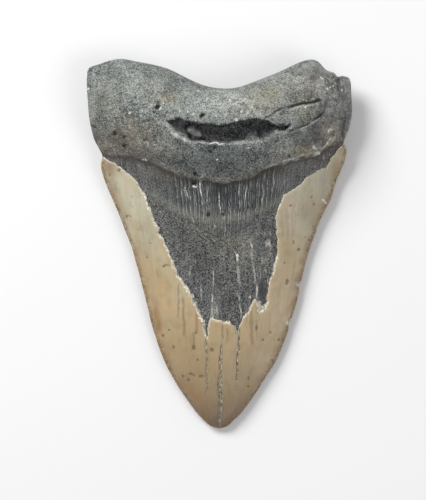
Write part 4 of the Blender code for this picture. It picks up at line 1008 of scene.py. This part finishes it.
def shapeTooth(piece):
    # moves the slab's points onto the tooth, and keeps what the finish needs at each point
    flat = np.empty(len(piece.data.vertices) * 3)
    piece.data.vertices.foreach_get("co", flat)
    flat = flat.reshape(-1, 3)
    column = np.rint((flat[:, 0] + 0.5) * tooth["columns"]).astype(int)
    row = np.rint((flat[:, 1] + 0.5) * tooth["rows"]).astype(int)
    onTop = flat[:, 2] > 0.5

    x, y, across, inset = planOfTooth()
    upper = domedFace(x, y, across, inset)
    lower = flatFace(x, y, across, inset)

    def atPoints(above, below):
        return np.where(onTop, above[row, column], below[row, column])

    rim = tooth["rimThickness"] / 2 * (1 - smoothStep(0, 3, inset))
    cutX = serrate(x, y, across, inset)
    heights = atPoints(upper["height"] + rim, np.maximum(lower["height"] - rim, 0))
    points = np.stack([atPoints(cutX, cutX), atPoints(y + upper["behind"], y), heights], -1)

    # bring it to the frame's own box
    low, high = points.min(0), points.max(0)
    middle = np.array([(low[0] + high[0]) / 2, (low[1] + high[1]) / 2, low[2]])
    points = (points - middle) * np.array(toothHigh - toothLow) / (high - low)
    points += np.array([(toothLow.x + toothHigh.x) / 2, (toothLow.y + toothHigh.y) / 2, toothLow.z])
    piece.data.vertices.foreach_set("co", points.ravel())

    for name in upper:
        if name not in ("height", "behind"):
            below = lower[name] if name in lower else missing(name, x.shape)
            keep(piece, name, atPoints(upper[name], below))
    flow = flowAcross(x, across)
    for name, values in (("inset", inset), ("flow", flow), ("lengthwise", y)):
        keep(piece, name, atPoints(values, values))
    inward = smoothStep(0, 1.2, inset[row, column])
    overNeck = atPoints(upper["overNeck"], lower["overNeck"])
    onEnamel = atPoints(upper["enamel"], lower["enamel"])
    cracked = ~onTop & (lower["crackStrength"][row, column] > 0)
    markGroup(piece, "rootGroup", smoothStep(-0.4, 0.6, overNeck) * inward)
    markGroup(piece, "dentineGroup", smoothStep(0.1, -0.3, onEnamel) * inward)
    markGroup(piece, "crackGroup", cracked.astype(float))
    piece.data.update()


def applyModifier(piece, name, kind, **settings):
    modifier = piece.modifiers.new(name, kind)
    for key, value in settings.items():
        setattr(modifier, key, value)
    bpy.context.view_layer.objects.active = piece
    bpy.ops.object.modifier_apply(modifier=name)


def roughen(piece):
    # lumps, then sandy grain on the root and a finer one on the bare dentine
    for name, group, noise in (
        ("rootLumps", "rootGroup", "SOFT_NOISE"),
        ("rootGrain", "rootGroup", "HARD_NOISE"),
        ("dentineGrain", "dentineGroup", "SOFT_NOISE"),
    ):
        strength, size = tooth[name]
        texture = bpy.data.textures.new(name, "CLOUDS")
        texture.noise_scale = size * mm
        texture.noise_type = noise
        settings = {"texture": texture, "strength": strength * mm, "mid_level": 0.5}
        applyModifier(piece, name, "DISPLACE", vertex_group=group, texture_coords="LOCAL", **settings)


def finishMesh(piece):
    # fewer triangles, but as many as before along the cracks below
    share = tooth["triangles"] / (2 * len(piece.data.polygons))
    spared = {"vertex_group": "crackGroup", "invert_vertex_group": True}
    applyModifier(piece, "fewer", "DECIMATE", ratio=share, **spared)
    points = np.empty(len(piece.data.vertices) * 3)
    piece.data.vertices.foreach_get("co", points)
    points = points.reshape(-1, 3)
    points[:, 2] = np.maximum(points[:, 2], toothLow.z)
    margin = tooth["boxMargin"] * mm
    points = np.clip(points, np.array(toothLow) - margin, np.array(toothHigh) + margin)
    piece.data.vertices.foreach_set("co", points.ravel())
    for name in ("rootGroup", "dentineGroup", "crackGroup"):
        piece.vertex_groups.remove(piece.vertex_groups[name])
    piece.data.shade_smooth()
    piece.data.update()


def paint(name):
    shade = np.array(tooth["colours"][name]) / 255
    linear = np.where(shade <= 0.04045, shade / 12.92, ((shade + 0.055) / 1.055) ** 2.4)
    return (*linear, 1)


def add(tree, kind, sockets=None, **settings):
    node = tree.nodes.new(kind)
    for name, value in settings.items():
        setattr(node, name, value)
    for name, value in (sockets or {}).items():
        if isinstance(value, bpy.types.NodeSocket):
            tree.links.new(value, node.inputs[name])
        else:
            node.inputs[name].default_value = value
    return node


def field(tree, name):
    return add(tree, "ShaderNodeAttribute", attribute_name=name).outputs["Fac"]


def calc(tree, operation, *values):
    return add(tree, "ShaderNodeMath", dict(enumerate(values)), operation=operation).outputs[0]


def times(tree, first, *others):
    for other in others:
        first = calc(tree, "MULTIPLY", first, other)
    return first


def mixed(tree, *parts):
    # the sum of (share, value) pairs
    total = 0.0
    for share, value in parts:
        total = calc(tree, "MULTIPLY_ADD", value, share, total)
    return total


def rise(tree, value, low, high, top=1.0):
    # 0 below low and top above high; low may be the larger of the two
    sockets = {"Value": value, "From Min": low, "From Max": high, "To Max": top}
    return add(tree, "ShaderNodeMapRange", sockets, interpolation_type="SMOOTHSTEP").outputs["Result"]


def blend(tree, factor, a, b, mode="MIX"):
    return add(tree, "ShaderNodeMix", {0: factor, 6: a, 7: b}, data_type="RGBA", blend_type=mode).outputs[2]


def between(tree, factor, a, b):
    return add(tree, "ShaderNodeMix", {0: factor, 2: a, 3: b}, data_type="FLOAT").outputs[0]


def mottle(tree, vector, scale, detail=2.0, roughness=0.5):
    sockets = {"Vector": vector, "Scale": scale, "Detail": detail, "Roughness": roughness}
    return add(tree, "ShaderNodeTexNoise", sockets).outputs["Fac"]


def patchy(tree, vector, name, top=1.0):
    # a named noise, stretched so that its low values give 0 and its high ones the top
    scale, detail, roughness, low, high = tooth["noises"][name]
    return rise(tree, mottle(tree, vector, scale, detail, roughness), low, high, top)


def frayed(tree, value, vector, scale, amount):
    # the value, shifted up and down by a noise
    shift = calc(tree, "MULTIPLY_ADD", mottle(tree, vector, scale), amount, -amount / 2)
    return calc(tree, "ADD", value, shift)


def spotted(tree, place3d, name):
    # a named distance as a spot with a ragged edge
    scale, amount, low, high, top = tooth["edges"][name]
    return rise(tree, frayed(tree, field(tree, name), place3d, scale, amount), low, high, top)


def tinted(tree, colour, name, *others):
    # the colour with a named patch's own colour over it
    paintName, strength = tooth["tints"][name]
    return blend(tree, times(tree, field(tree, name), *others, strength), colour, paint(paintName))


def placed(tree, group, vector, sockets):
    return add(tree, "ShaderNodeGroup", {"Vector": vector, **sockets}, node_tree=group).outputs


def newGroup(name, inputs, outputs):
    group = bpy.data.node_groups.new(name, "ShaderNodeTree")
    group.interface.new_socket("Vector", in_out="INPUT", socket_type="NodeSocketVector")
    for socket, value in inputs.items():
        made = group.interface.new_socket(socket, in_out="INPUT", socket_type="NodeSocketFloat")
        made.default_value = value
    for socket in outputs:
        group.interface.new_socket(socket, in_out="OUTPUT", socket_type="NodeSocketFloat")
    return group, group.nodes.new("NodeGroupInput").outputs, group.nodes.new("NodeGroupOutput").inputs


def moved(tree, operation, vector, other):
    socket = "Scale" if operation == "SCALE" else 1
    return add(tree, "ShaderNodeVectorMath", {0: vector, socket: other}, operation=operation).outputs[0]


def speckleGroup():
    # sandy grain: each grain has its own brightness, and some are light flecks or dark pits
    inputs = {"Grain Size": 0.5, "Flecks": 0.5, "Pits": 0.5}
    group, given, result = newGroup("sandySpeckle", inputs, ("Value", "Fleck", "Pit", "Height"))
    vector = given["Vector"]
    scale = calc(group, "DIVIDE", 1.0, given["Grain Size"])
    swirlAt = {"Vector": vector, "Scale": times(group, scale, 1.5)}
    swirl = add(group, "ShaderNodeTexNoise", swirlAt).outputs["Color"]
    swirl = moved(group, "SCALE", swirl, times(group, given["Grain Size"], 0.9))
    warped = moved(group, "ADD", vector, swirl)
    cells = add(group, "ShaderNodeTexVoronoi", {"Vector": warped, "Scale": scale})
    chance = add(group, "ShaderNodeSeparateColor", {"Color": cells.outputs["Color"]}).outputs
    fine = rise(group, mottle(group, vector, times(group, scale, 1.2), 2.0, 0.6), 0.3, 0.7)
    core = rise(group, cells.outputs["Distance"], 0.6, 0.3)
    crowded = rise(group, mottle(group, vector, times(group, scale, 0.12), 2.0), 0.35, 0.65)
    fleckShare = times(group, given["Flecks"], mixed(group, (0.3, crowded)))
    fleck = times(group, calc(group, "GREATER_THAN", fleckShare, chance["Green"]), core)
    fleck = times(group, fleck, mixed(group, (0.75, chance["Red"]), (1.0, 0.3)))
    pitShare = times(group, given["Pits"], 0.14)
    pit = times(group, calc(group, "GREATER_THAN", pitShare, chance["Blue"]), core)
    group.links.new(mixed(group, (0.5, chance["Red"]), (0.5, fine)), result["Value"])
    group.links.new(fleck, result["Fleck"])
    group.links.new(pit, result["Pit"])
    group.links.new(mixed(group, (0.6, fine), (0.5, core), (-0.5, pit)), result["Height"])
    return group


def streakGroup():
    # streaks that run down the tooth: soft ones, and thin lines of uneven strength
    group, given, result = newGroup("lengthwiseStreaks", {"Spacing": 1.0, "Length": 8.0}, ("Soft", "Line"))
    across = calc(group, "DIVIDE", 1.0, given["Spacing"])
    down = calc(group, "DIVIDE", 1.0, given["Length"])
    stretch = add(group, "ShaderNodeCombineXYZ", {0: across, 1: down, 2: 1.0}).outputs[0]
    vector = moved(group, "MULTIPLY", given["Vector"], stretch)
    group.links.new(mottle(group, vector, 1.0, 2.0, 0.55), result["Soft"])

    parts = add(group, "ShaderNodeSeparateXYZ", {"Vector": vector}).outputs
    bend = {0: times(group, parts["X"], 0.3), 1: times(group, parts["Y"], 2.0)}
    bend = add(group, "ShaderNodeCombineXYZ", bend).outputs[0]
    place1d = frayed(group, parts["X"], bend, 1.0, 1.6)
    lines = add(group, "ShaderNodeTexVoronoi", {"W": place1d, "Scale": 1.0}, voronoi_dimensions="1D")
    chance = add(group, "ShaderNodeSeparateColor", {"Color": lines.outputs["Color"]}).outputs["Red"]
    thin = rise(group, lines.outputs["Distance"], 0.26, 0.06)
    broken = patchy(group, vector, "streakBreaks")
    uneven = mixed(group, (0.8, chance), (1.0, 0.25))
    group.links.new(times(group, thin, uneven, broken), result["Line"])
    return group


def brokenEdgeGroup():
    # a crumbly line along the zero of a distance: its width comes and goes
    group, given, result = newGroup("brokenEdge", {"Distance": 0.0, "Width": 0.4, "Crumble": 0.5}, ("Mask",))
    ragged = mottle(group, given["Vector"], 0.9, 3.0, 0.75)
    swing = times(group, calc(group, "SUBTRACT", ragged, 0.5), given["Crumble"], 5.0)
    width = times(group, given["Width"], calc(group, "ADD", 1.0, swing))
    gap = calc(group, "SUBTRACT", calc(group, "ABSOLUTE", given["Distance"]), width)
    group.links.new(rise(group, gap, 0.08, -0.06), result["Mask"])
    return group


def rootFinish(tree, place3d, grains):
    parts = grains["Value"], patchy(tree, place3d, "rootBlotches"), patchy(tree, place3d, "rootClouds")
    rubbed = mixed(tree, *zip(tooth["rubbedTone"], parts))
    tone = mixed(tree, *zip(tooth["rootTone"], parts))
    tone = between(tree, field(tree, "polished"), tone, rubbed)
    colour = blend(tree, rise(tree, tone, 0.15, 0.85), paint("rootDark"), paint("rootLight"))
    tinge = patchy(tree, place3d, "yellowTinge", tooth["yellowness"])
    colour = blend(tree, tinge, colour, paint("yellowish"), "SOFT_LIGHT")
    colour = blend(tree, times(tree, grains["Fleck"], 0.75), colour, paint("rootFleck"))
    return blend(tree, times(tree, grains["Pit"], 0.8), colour, paint("rootPit"))


def dentineFinish(tree, place3d, fine, wisps, stria):
    crisp, soft = rise(tree, fine["Value"], 0.2, 0.8), rise(tree, wisps["Soft"], 0.3, 0.7)
    sandy, blotchy = patchy(tree, place3d, "dentineSand"), patchy(tree, place3d, "dentineBlotches")
    tone = mixed(tree, *zip(tooth["dentineTone"], (crisp, sandy, soft, blotchy)))
    colour = blend(tree, rise(tree, tone, 0.22, 0.84), paint("dentineDark"), paint("dentineLight"))
    colour = blend(tree, times(tree, fine["Fleck"], 0.7), colour, paint("stria"))
    colour = tinted(tree, colour, "band")
    colour = tinted(tree, colour, "bow", mixed(tree, (0.8, fine["Value"]), (1.0, 0.05)))
    colour = tinted(tree, colour, "slate")
    return blend(tree, stria, colour, paint("stria"))


def enamelFinish(tree, place3d, flow, silk):
    # greenish and pearly by the root, golden down the blade and brown at the tip; the pale top is partly
    # painted sheen and the dark tip partly painted shade
    lengthwise, inset = field(tree, "lengthwise"), field(tree, "inset")
    golden = rise(tree, frayed(tree, lengthwise, place3d, 0.12, 60.0), 18.0, -18.0)
    # pale by the root: partly real colour, partly painted sheen
    colour = blend(tree, golden, paint("enamelPearlAndSheen"), paint("enamelGold"))
    colour = blend(tree, rise(tree, lengthwise, -20.0, -54.0, 0.9), colour, paint("enamelBrown"))
    # the dark tip: partly real colour, partly painted shade where the blade slopes away from the light
    colour = blend(tree, rise(tree, lengthwise, -46.0, -60.5, 0.9), colour, paint("enamelTip"))
    rosy = patchy(tree, place3d, "enamelRose")
    lighter = blend(tree, 1.0, colour, paint("enamelRose"), "OVERLAY")
    colour = blend(tree, times(tree, rosy, 0.2), colour, lighter)
    # painted sheen high on the left blade
    colour = tinted(tree, colour, "paintedSheen")
    colour = tinted(tree, colour, "rose")
    colour = blend(tree, times(tree, field(tree, "mauve"), tooth["enamelMauve"]), colour, paint("mauve"))
    darker = blend(tree, 1.0, colour, paint("enamelSmoke"), "MULTIPLY")
    colour = blend(tree, times(tree, patchy(tree, flow, "enamelSmoke"), 0.3), colour, darker)
    colour = blend(tree, rise(tree, silk["Soft"], 0.45, 0.75, 0.2), colour, paint("enamelBrown"))
    lines = times(tree, silk["Line"], rise(tree, rosy, 0.3, 0.0), 0.22)
    colour = blend(tree, lines, colour, paint("spot"))
    byEdge = times(tree, patchy(tree, place3d, "enamelStain"), rise(tree, inset, 5.0, 0.3, 0.55))
    colour = blend(tree, calc(tree, "MAXIMUM", byEdge, field(tree, "gold")), colour, paint("enamelStain"))
    colour = tinted(tree, colour, "fold")
    worn = rise(tree, inset, 1.7, 0.6)
    colour = blend(tree, times(tree, worn, 0.25), colour, paint("enamelStain"))
    colour = blend(tree, times(tree, worn, patchy(tree, place3d, "edgeTicks"), 0.8), colour, paint("spot"))
    return blend(tree, spotted(tree, place3d, "darkSpot"), colour, paint("spot"))


def tonedFinish(tree, place3d, colour):
    # lighter and darker places on the root and dentine, partly real tone and partly painted light and painted
    # shade, then rust, olive, plum and mauve ones
    pale, shade = field(tree, "pale"), field(tree, "shade")
    # pale patches: lighter tone, partly painted light
    sparkling = blend(tree, 1.0, colour, tooth["sparkle"], "DODGE")
    bleachedAndLit = blend(tree, 1.0, colour, tooth["bleachAndPaintedLight"], "SCREEN")
    lighter = blend(tree, times(tree, pale, 0.9), bleachedAndLit, sparkling)
    colour = blend(tree, times(tree, pale, 0.95), colour, lighter)
    # shaded patches: darker tone, partly painted shade
    darker = blend(tree, 1.0, colour, tooth["shadeTint"], "MULTIPLY")
    colour = blend(tree, times(tree, shade, 0.85), colour, darker)
    for name, strength, solid in tooth["hues"]:
        hued = times(tree, field(tree, name), patchy(tree, place3d, name), strength)
        colour = blend(tree, hued, colour, paint(name), "COLOR")
        colour = blend(tree, times(tree, hued, solid), colour, paint(name))
    colour = tinted(tree, colour, "plum", patchy(tree, place3d, "plum"))
    return tinted(tree, colour, "mauve")


def neckTints(tree, place3d, colour, overNeck):
    # a shadow under the root's ragged edge, brown towards the sides, and a pale line above it on the right
    shadow = times(tree, rise(tree, overNeck, 0.1, -0.4), rise(tree, overNeck, -1.8, -0.5))
    colour = blend(tree, times(tree, shadow, 0.5), colour, paint("shadow"))
    colour = tinted(tree, colour, "neckBrown", patchy(tree, place3d, "neckBrown"))
    return tinted(tree, colour, "neckPale", patchy(tree, place3d, "neckPale"))


def veined(tree, place3d, colour):
    # white streaks with uneven edges, broken here and there; a few are painted highlights on lit edges
    ragged = calc(tree, "ABSOLUTE", frayed(tree, field(tree, "vein"), place3d, 1.6, 1.2))
    vein = times(tree, rise(tree, ragged, 1.3, 0.6), field(tree, "veinStrength"))
    vein = times(tree, vein, patchy(tree, place3d, "veins"))
    return blend(tree, vein, colour, paint("broken"))


def cracked(tree, flow, surface, onEnamel):
    # a dark broken line, and in the enamel long splinters with a painted highlight on their right side, the
    # wall that faces the light
    splintered = add(tree, "ShaderNodeMapping", {"Vector": flow, "Scale": (1.0, 0.28, 1.0)}).outputs["Vector"]
    crackAt, strength = field(tree, "crack"), field(tree, "crackStrength")
    sided = frayed(tree, frayed(tree, crackAt, splintered, 1.3, 1.4), splintered, 3.0, 1.4)
    sided = between(tree, mixed(tree, (0.7, field(tree, "upper")), (1.0, 0.3)), crackAt, sided)
    ragged = calc(tree, "ABSOLUTE", sided)
    mask = times(tree, rise(tree, ragged, 1.3, 0.6), strength)
    splinters = mottle(tree, splintered, 2.6, 4.0, 0.8)
    body = blend(tree, onEnamel, paint("rootDark"), paint("crackGrey"))
    darkest = blend(tree, onEnamel, paint("rootPit"), paint("crackDark"))
    surface = blend(tree, times(tree, mask, 0.55), surface, body)
    inEnamel = times(tree, rise(tree, ragged, 1.2, 0.6), rise(tree, splinters, 0.52, 0.46))
    core = between(tree, onEnamel, rise(tree, ragged, 0.8, 0.2), inEnamel)
    surface = blend(tree, times(tree, core, strength, 0.9), surface, darkest)
    # painted highlight on each enamel crack's right wall
    rightSide = mixed(tree, (0.6, rise(tree, sided, -0.3, 0.4)), (1.0, 0.25))
    lit = times(tree, rightSide, rise(tree, splinters, 0.525, 0.59), mask, onEnamel)
    return blend(tree, lit, surface, paint("broken")), mask


def hollowed(tree, place3d, surface, grains):
    # shade at the hollow's mouth, its grainy floor, and the block of stone in it with a painted highlight
    # round its rim
    surface = blend(tree, spotted(tree, place3d, "overMouth"), surface, paint("shadow"))
    inside = blend(tree, rise(tree, grains["Value"], 0.25, 0.9), paint("hollowDark"), paint("hollow"))
    inside = blend(tree, times(tree, grains["Fleck"], 0.8), inside, paint("rootLight"))
    block = blend(tree, grains["Value"], paint("hollow"), paint("blockStone"))
    inBlock = frayed(tree, field(tree, "block"), place3d, 1.2, 0.4)
    # a paler rim round the block: a painted highlight for its lit edges
    block = blend(tree, rise(tree, inBlock, 0.7, 0.35, 0.8), block, paint("blockRim"))
    inside = blend(tree, rise(tree, inBlock, 0.1, 0.35), inside, block)
    return blend(tree, spotted(tree, place3d, "hollow"), surface, inside)


def lipped(tree, surface, grains, granular):
    # the light broken stone along the hollow's lower lip, partly a painted highlight where its edge faces the
    # light
    lip = field(tree, "lip")
    mask = times(tree, lip, calc(tree, "MAXIMUM", granular, rise(tree, lip, 0.78, 1.0)))
    colour = blend(tree, grains["Value"], paint("lipShade"), paint("lipStone"))
    colour = blend(tree, rise(tree, lip, 0.7, 1.0), colour, paint("lipStone"))
    return blend(tree, mask, surface, colour), mask


def rimmed(tree, place3d, surface, granular):
    # the broken edge and the crumbled spots of the enamel
    crumbly = field(tree, "crumblyRim")
    width = mixed(tree, (0.5, crumbly), (1.0, 0.12))
    gap = calc(tree, "SUBTRACT", field(tree, "enamel"), 0.1)
    sockets = {"Distance": gap, "Width": width, "Crumble": tooth["rimCrumble"]}
    edge = placed(tree, brokenEdgeGroup(), place3d, sockets)["Mask"]
    uneven = calc(tree, "MAXIMUM", patchy(tree, place3d, "rimWidth"), crumbly)
    edge = times(tree, edge, mixed(tree, (0.4, uneven), (1.0, 0.6)), mixed(tree, (0.5, granular), (1.0, 0.5)))
    edge = calc(tree, "MAXIMUM", edge, times(tree, rise(tree, field(tree, "crumb"), 0.3, 0.6), granular))
    colour = blend(tree, patchy(tree, place3d, "chips"), paint("brokenShade"), paint("broken"))
    return blend(tree, times(tree, edge, 0.95, field(tree, "upper")), surface, colour), edge


def fossilMaterial():
    material = bpy.data.materials.new("fossilTooth")
    material.use_nodes = True
    tree = material.node_tree
    shader = tree.nodes["Principled BSDF"]
    coordinates = add(tree, "ShaderNodeTexCoord").outputs["Object"]
    inMillimetres = {"Vector": coordinates, "Scale": [1 / mm] * 3}
    place3d = add(tree, "ShaderNodeMapping", inMillimetres).outputs["Vector"]
    downTooth = {0: field(tree, "flow"), 1: field(tree, "lengthwise")}
    flow = add(tree, "ShaderNodeCombineXYZ", downTooth).outputs[0]

    speckle, streaks = speckleGroup(), streakGroup()
    grains = placed(tree, speckle, place3d, tooth["rootSpeckle"])
    fine = placed(tree, speckle, place3d, tooth["dentineSpeckle"])
    silk = placed(tree, streaks, flow, tooth["enamelSilk"])
    wisps = placed(tree, streaks, flow, tooth["dentineWisps"])
    bold = placed(tree, streaks, flow, tooth["boldStriae"])["Line"]
    bold = times(tree, bold, tooth["boldStriaLight"])
    slight = placed(tree, streaks, flow, tooth["slightStriae"])["Line"]
    slight = times(tree, slight, tooth["slightStriaLight"])
    stria = times(tree, calc(tree, "MAXIMUM", bold, slight), field(tree, "band"))
    overNeck = field(tree, "overNeck")
    onEnamel = rise(tree, field(tree, "enamel"), -0.04, 0.12)
    isRoot = rise(tree, overNeck, -0.2, 0.3)

    rootPaint = rootFinish(tree, place3d, grains)
    bare = blend(tree, isRoot, dentineFinish(tree, place3d, fine, wisps, stria), rootPaint)
    bare = tonedFinish(tree, place3d, bare)
    bare = veined(tree, place3d, neckTints(tree, place3d, bare, overNeck))
    surface = blend(tree, onEnamel, bare, enamelFinish(tree, place3d, flow, silk))
    surface = blend(tree, spotted(tree, place3d, "pit"), surface, paint("shadow"))
    surface, crackMask = cracked(tree, flow, surface, onEnamel)
    surface = hollowed(tree, place3d, surface, grains)
    granular = patchy(tree, place3d, "granular")
    surface, lipMask = lipped(tree, surface, grains, granular)
    surface, edge = rimmed(tree, place3d, surface, granular)
    # white flecks, some of them painted highlights beside pits
    surface = blend(tree, spotted(tree, place3d, "lightSpot"), surface, paint("rootFleck"))
    tree.links.new(surface, shader.inputs["Base Color"])

    # gloss: worn enamel shines a little, the rest is dull
    dull = mixed(tree, (0.2, grains["Value"]), (1.0, tooth["dullRoughness"]))
    glossy = mixed(tree, (0.2, silk["Soft"]), (1.0, tooth["enamelRoughness"]))
    broken = times(tree, calc(tree, "MAXIMUM", edge, lipMask), 0.8)
    rough = calc(tree, "MAXIMUM", between(tree, onEnamel, dull, glossy), broken)
    tree.links.new(rough, shader.inputs["Roughness"])
    shader.inputs["Specular IOR Level"].default_value = tooth["specular"]
    shader.inputs["Metallic"].default_value = 0.0

    # relief too fine for the mesh
    lined = mixed(tree, (1.0, stria), (0.5, fine["Height"]))
    bareRelief = between(tree, isRoot, lined, times(tree, grains["Height"], 0.9))
    relief = between(tree, onEnamel, bareRelief, times(tree, silk["Soft"], 0.12))
    relief = mixed(tree, (1.0, relief), (-0.5, crackMask), (0.3, edge))
    depth = {"Height": relief, "Strength": tooth["reliefStrength"], "Distance": tooth["reliefDistance"] * mm}
    bump = add(tree, "ShaderNodeBump", depth)
    tree.links.new(bump.outputs["Normal"], shader.inputs["Normal"])
    return material


def makeTooth():
    piece = toothBlank()
    shapeTooth(piece)
    print("tooth shaped:", len(piece.data.vertices), "points")
    roughen(piece)
    finishMesh(piece)
    piece.data.materials.append(fossilMaterial())
    print("tooth finished:", len(piece.data.polygons), "triangles")
    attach(piece, "root")
    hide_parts("tooth")
    return piece


# Table, light and camera
studio = {
    "tableColour": (0.86, 0.86, 0.87, 1),
    "tableSize": 3.0,
    "tableGap": 0.00005,  # keeps the table clear of the level patches that the tooth rests on
    "worldStrength": 0.36,
    "backdrop": 0.88,  # how light the room beyond the table looks
    "keyPower": 8.4,
    "keyPlace": (-0.48, 0.52, 0.66),
    "keySize": 0.5,
    "fillPower": 2.5,
    "fillPlace": (0.6, -0.3, 0.7),
    "fillSize": 0.7,
    "lens": 200,
    "frameHeight": 0.165,  # what the picture's height covers, at the height of the cutting edges
    "edgeHeight": 0.005,
    "lookAt": (-0.0021, -0.0019),
}


def makeTable():
    bpy.ops.object.select_all(action="DESELECT")
    tableTop = (0, 0, toothLow.z - studio["tableGap"])
    bpy.ops.mesh.primitive_plane_add(size=studio["tableSize"], location=tableTop)
    table = bpy.context.object
    table.name = "table"
    bpy.ops.object.transform_apply(location=True)
    material = bpy.data.materials.new("table")
    material.use_nodes = True
    shader = material.node_tree.nodes["Principled BSDF"]
    shader.inputs["Base Color"].default_value = studio["tableColour"]
    shader.inputs["Roughness"].default_value = 0.7
    table.data.materials.append(material)


def areaLight(name, at, size, power):
    light = bpy.data.lights.new(name, "AREA")
    light.shape = "DISK"
    light.size = size
    light.energy = power
    lamp = bpy.data.objects.new(name, light)
    lamp.location = at
    lamp.rotation_euler = (-lamp.location).to_track_quat("-Z", "Y").to_euler()
    bpy.context.scene.collection.objects.link(lamp)


def makeStudio():
    makeTable()
    areaLight("keyLight", studio["keyPlace"], studio["keySize"], studio["keyPower"])
    areaLight("fillLight", studio["fillPlace"], studio["fillSize"], studio["fillPower"])
    world = bpy.data.worlds.new("studio")
    world.use_nodes = True
    background = world.node_tree.nodes["Background"]
    background.inputs["Color"].default_value = (1, 1, 1, 1)
    seenDirectly = add(world.node_tree, "ShaderNodeLightPath").outputs["Is Camera Ray"]
    strength = between(world.node_tree, seenDirectly, studio["worldStrength"], studio["backdrop"])
    world.node_tree.links.new(strength, background.inputs["Strength"])
    bpy.context.scene.world = world
    bpy.context.scene.view_settings.view_transform = "Standard"

    camera = bpy.data.objects.new("camera", bpy.data.cameras.new("camera"))
    camera.data.lens = studio["lens"]
    distance = studio["frameHeight"] * studio["lens"] / camera.data.sensor_width
    camera.location = (*studio["lookAt"], studio["edgeHeight"] + distance)
    bpy.context.scene.collection.objects.link(camera)
    bpy.context.scene.camera = camera
    print("studio ready")


makeTooth()
makeStudio()
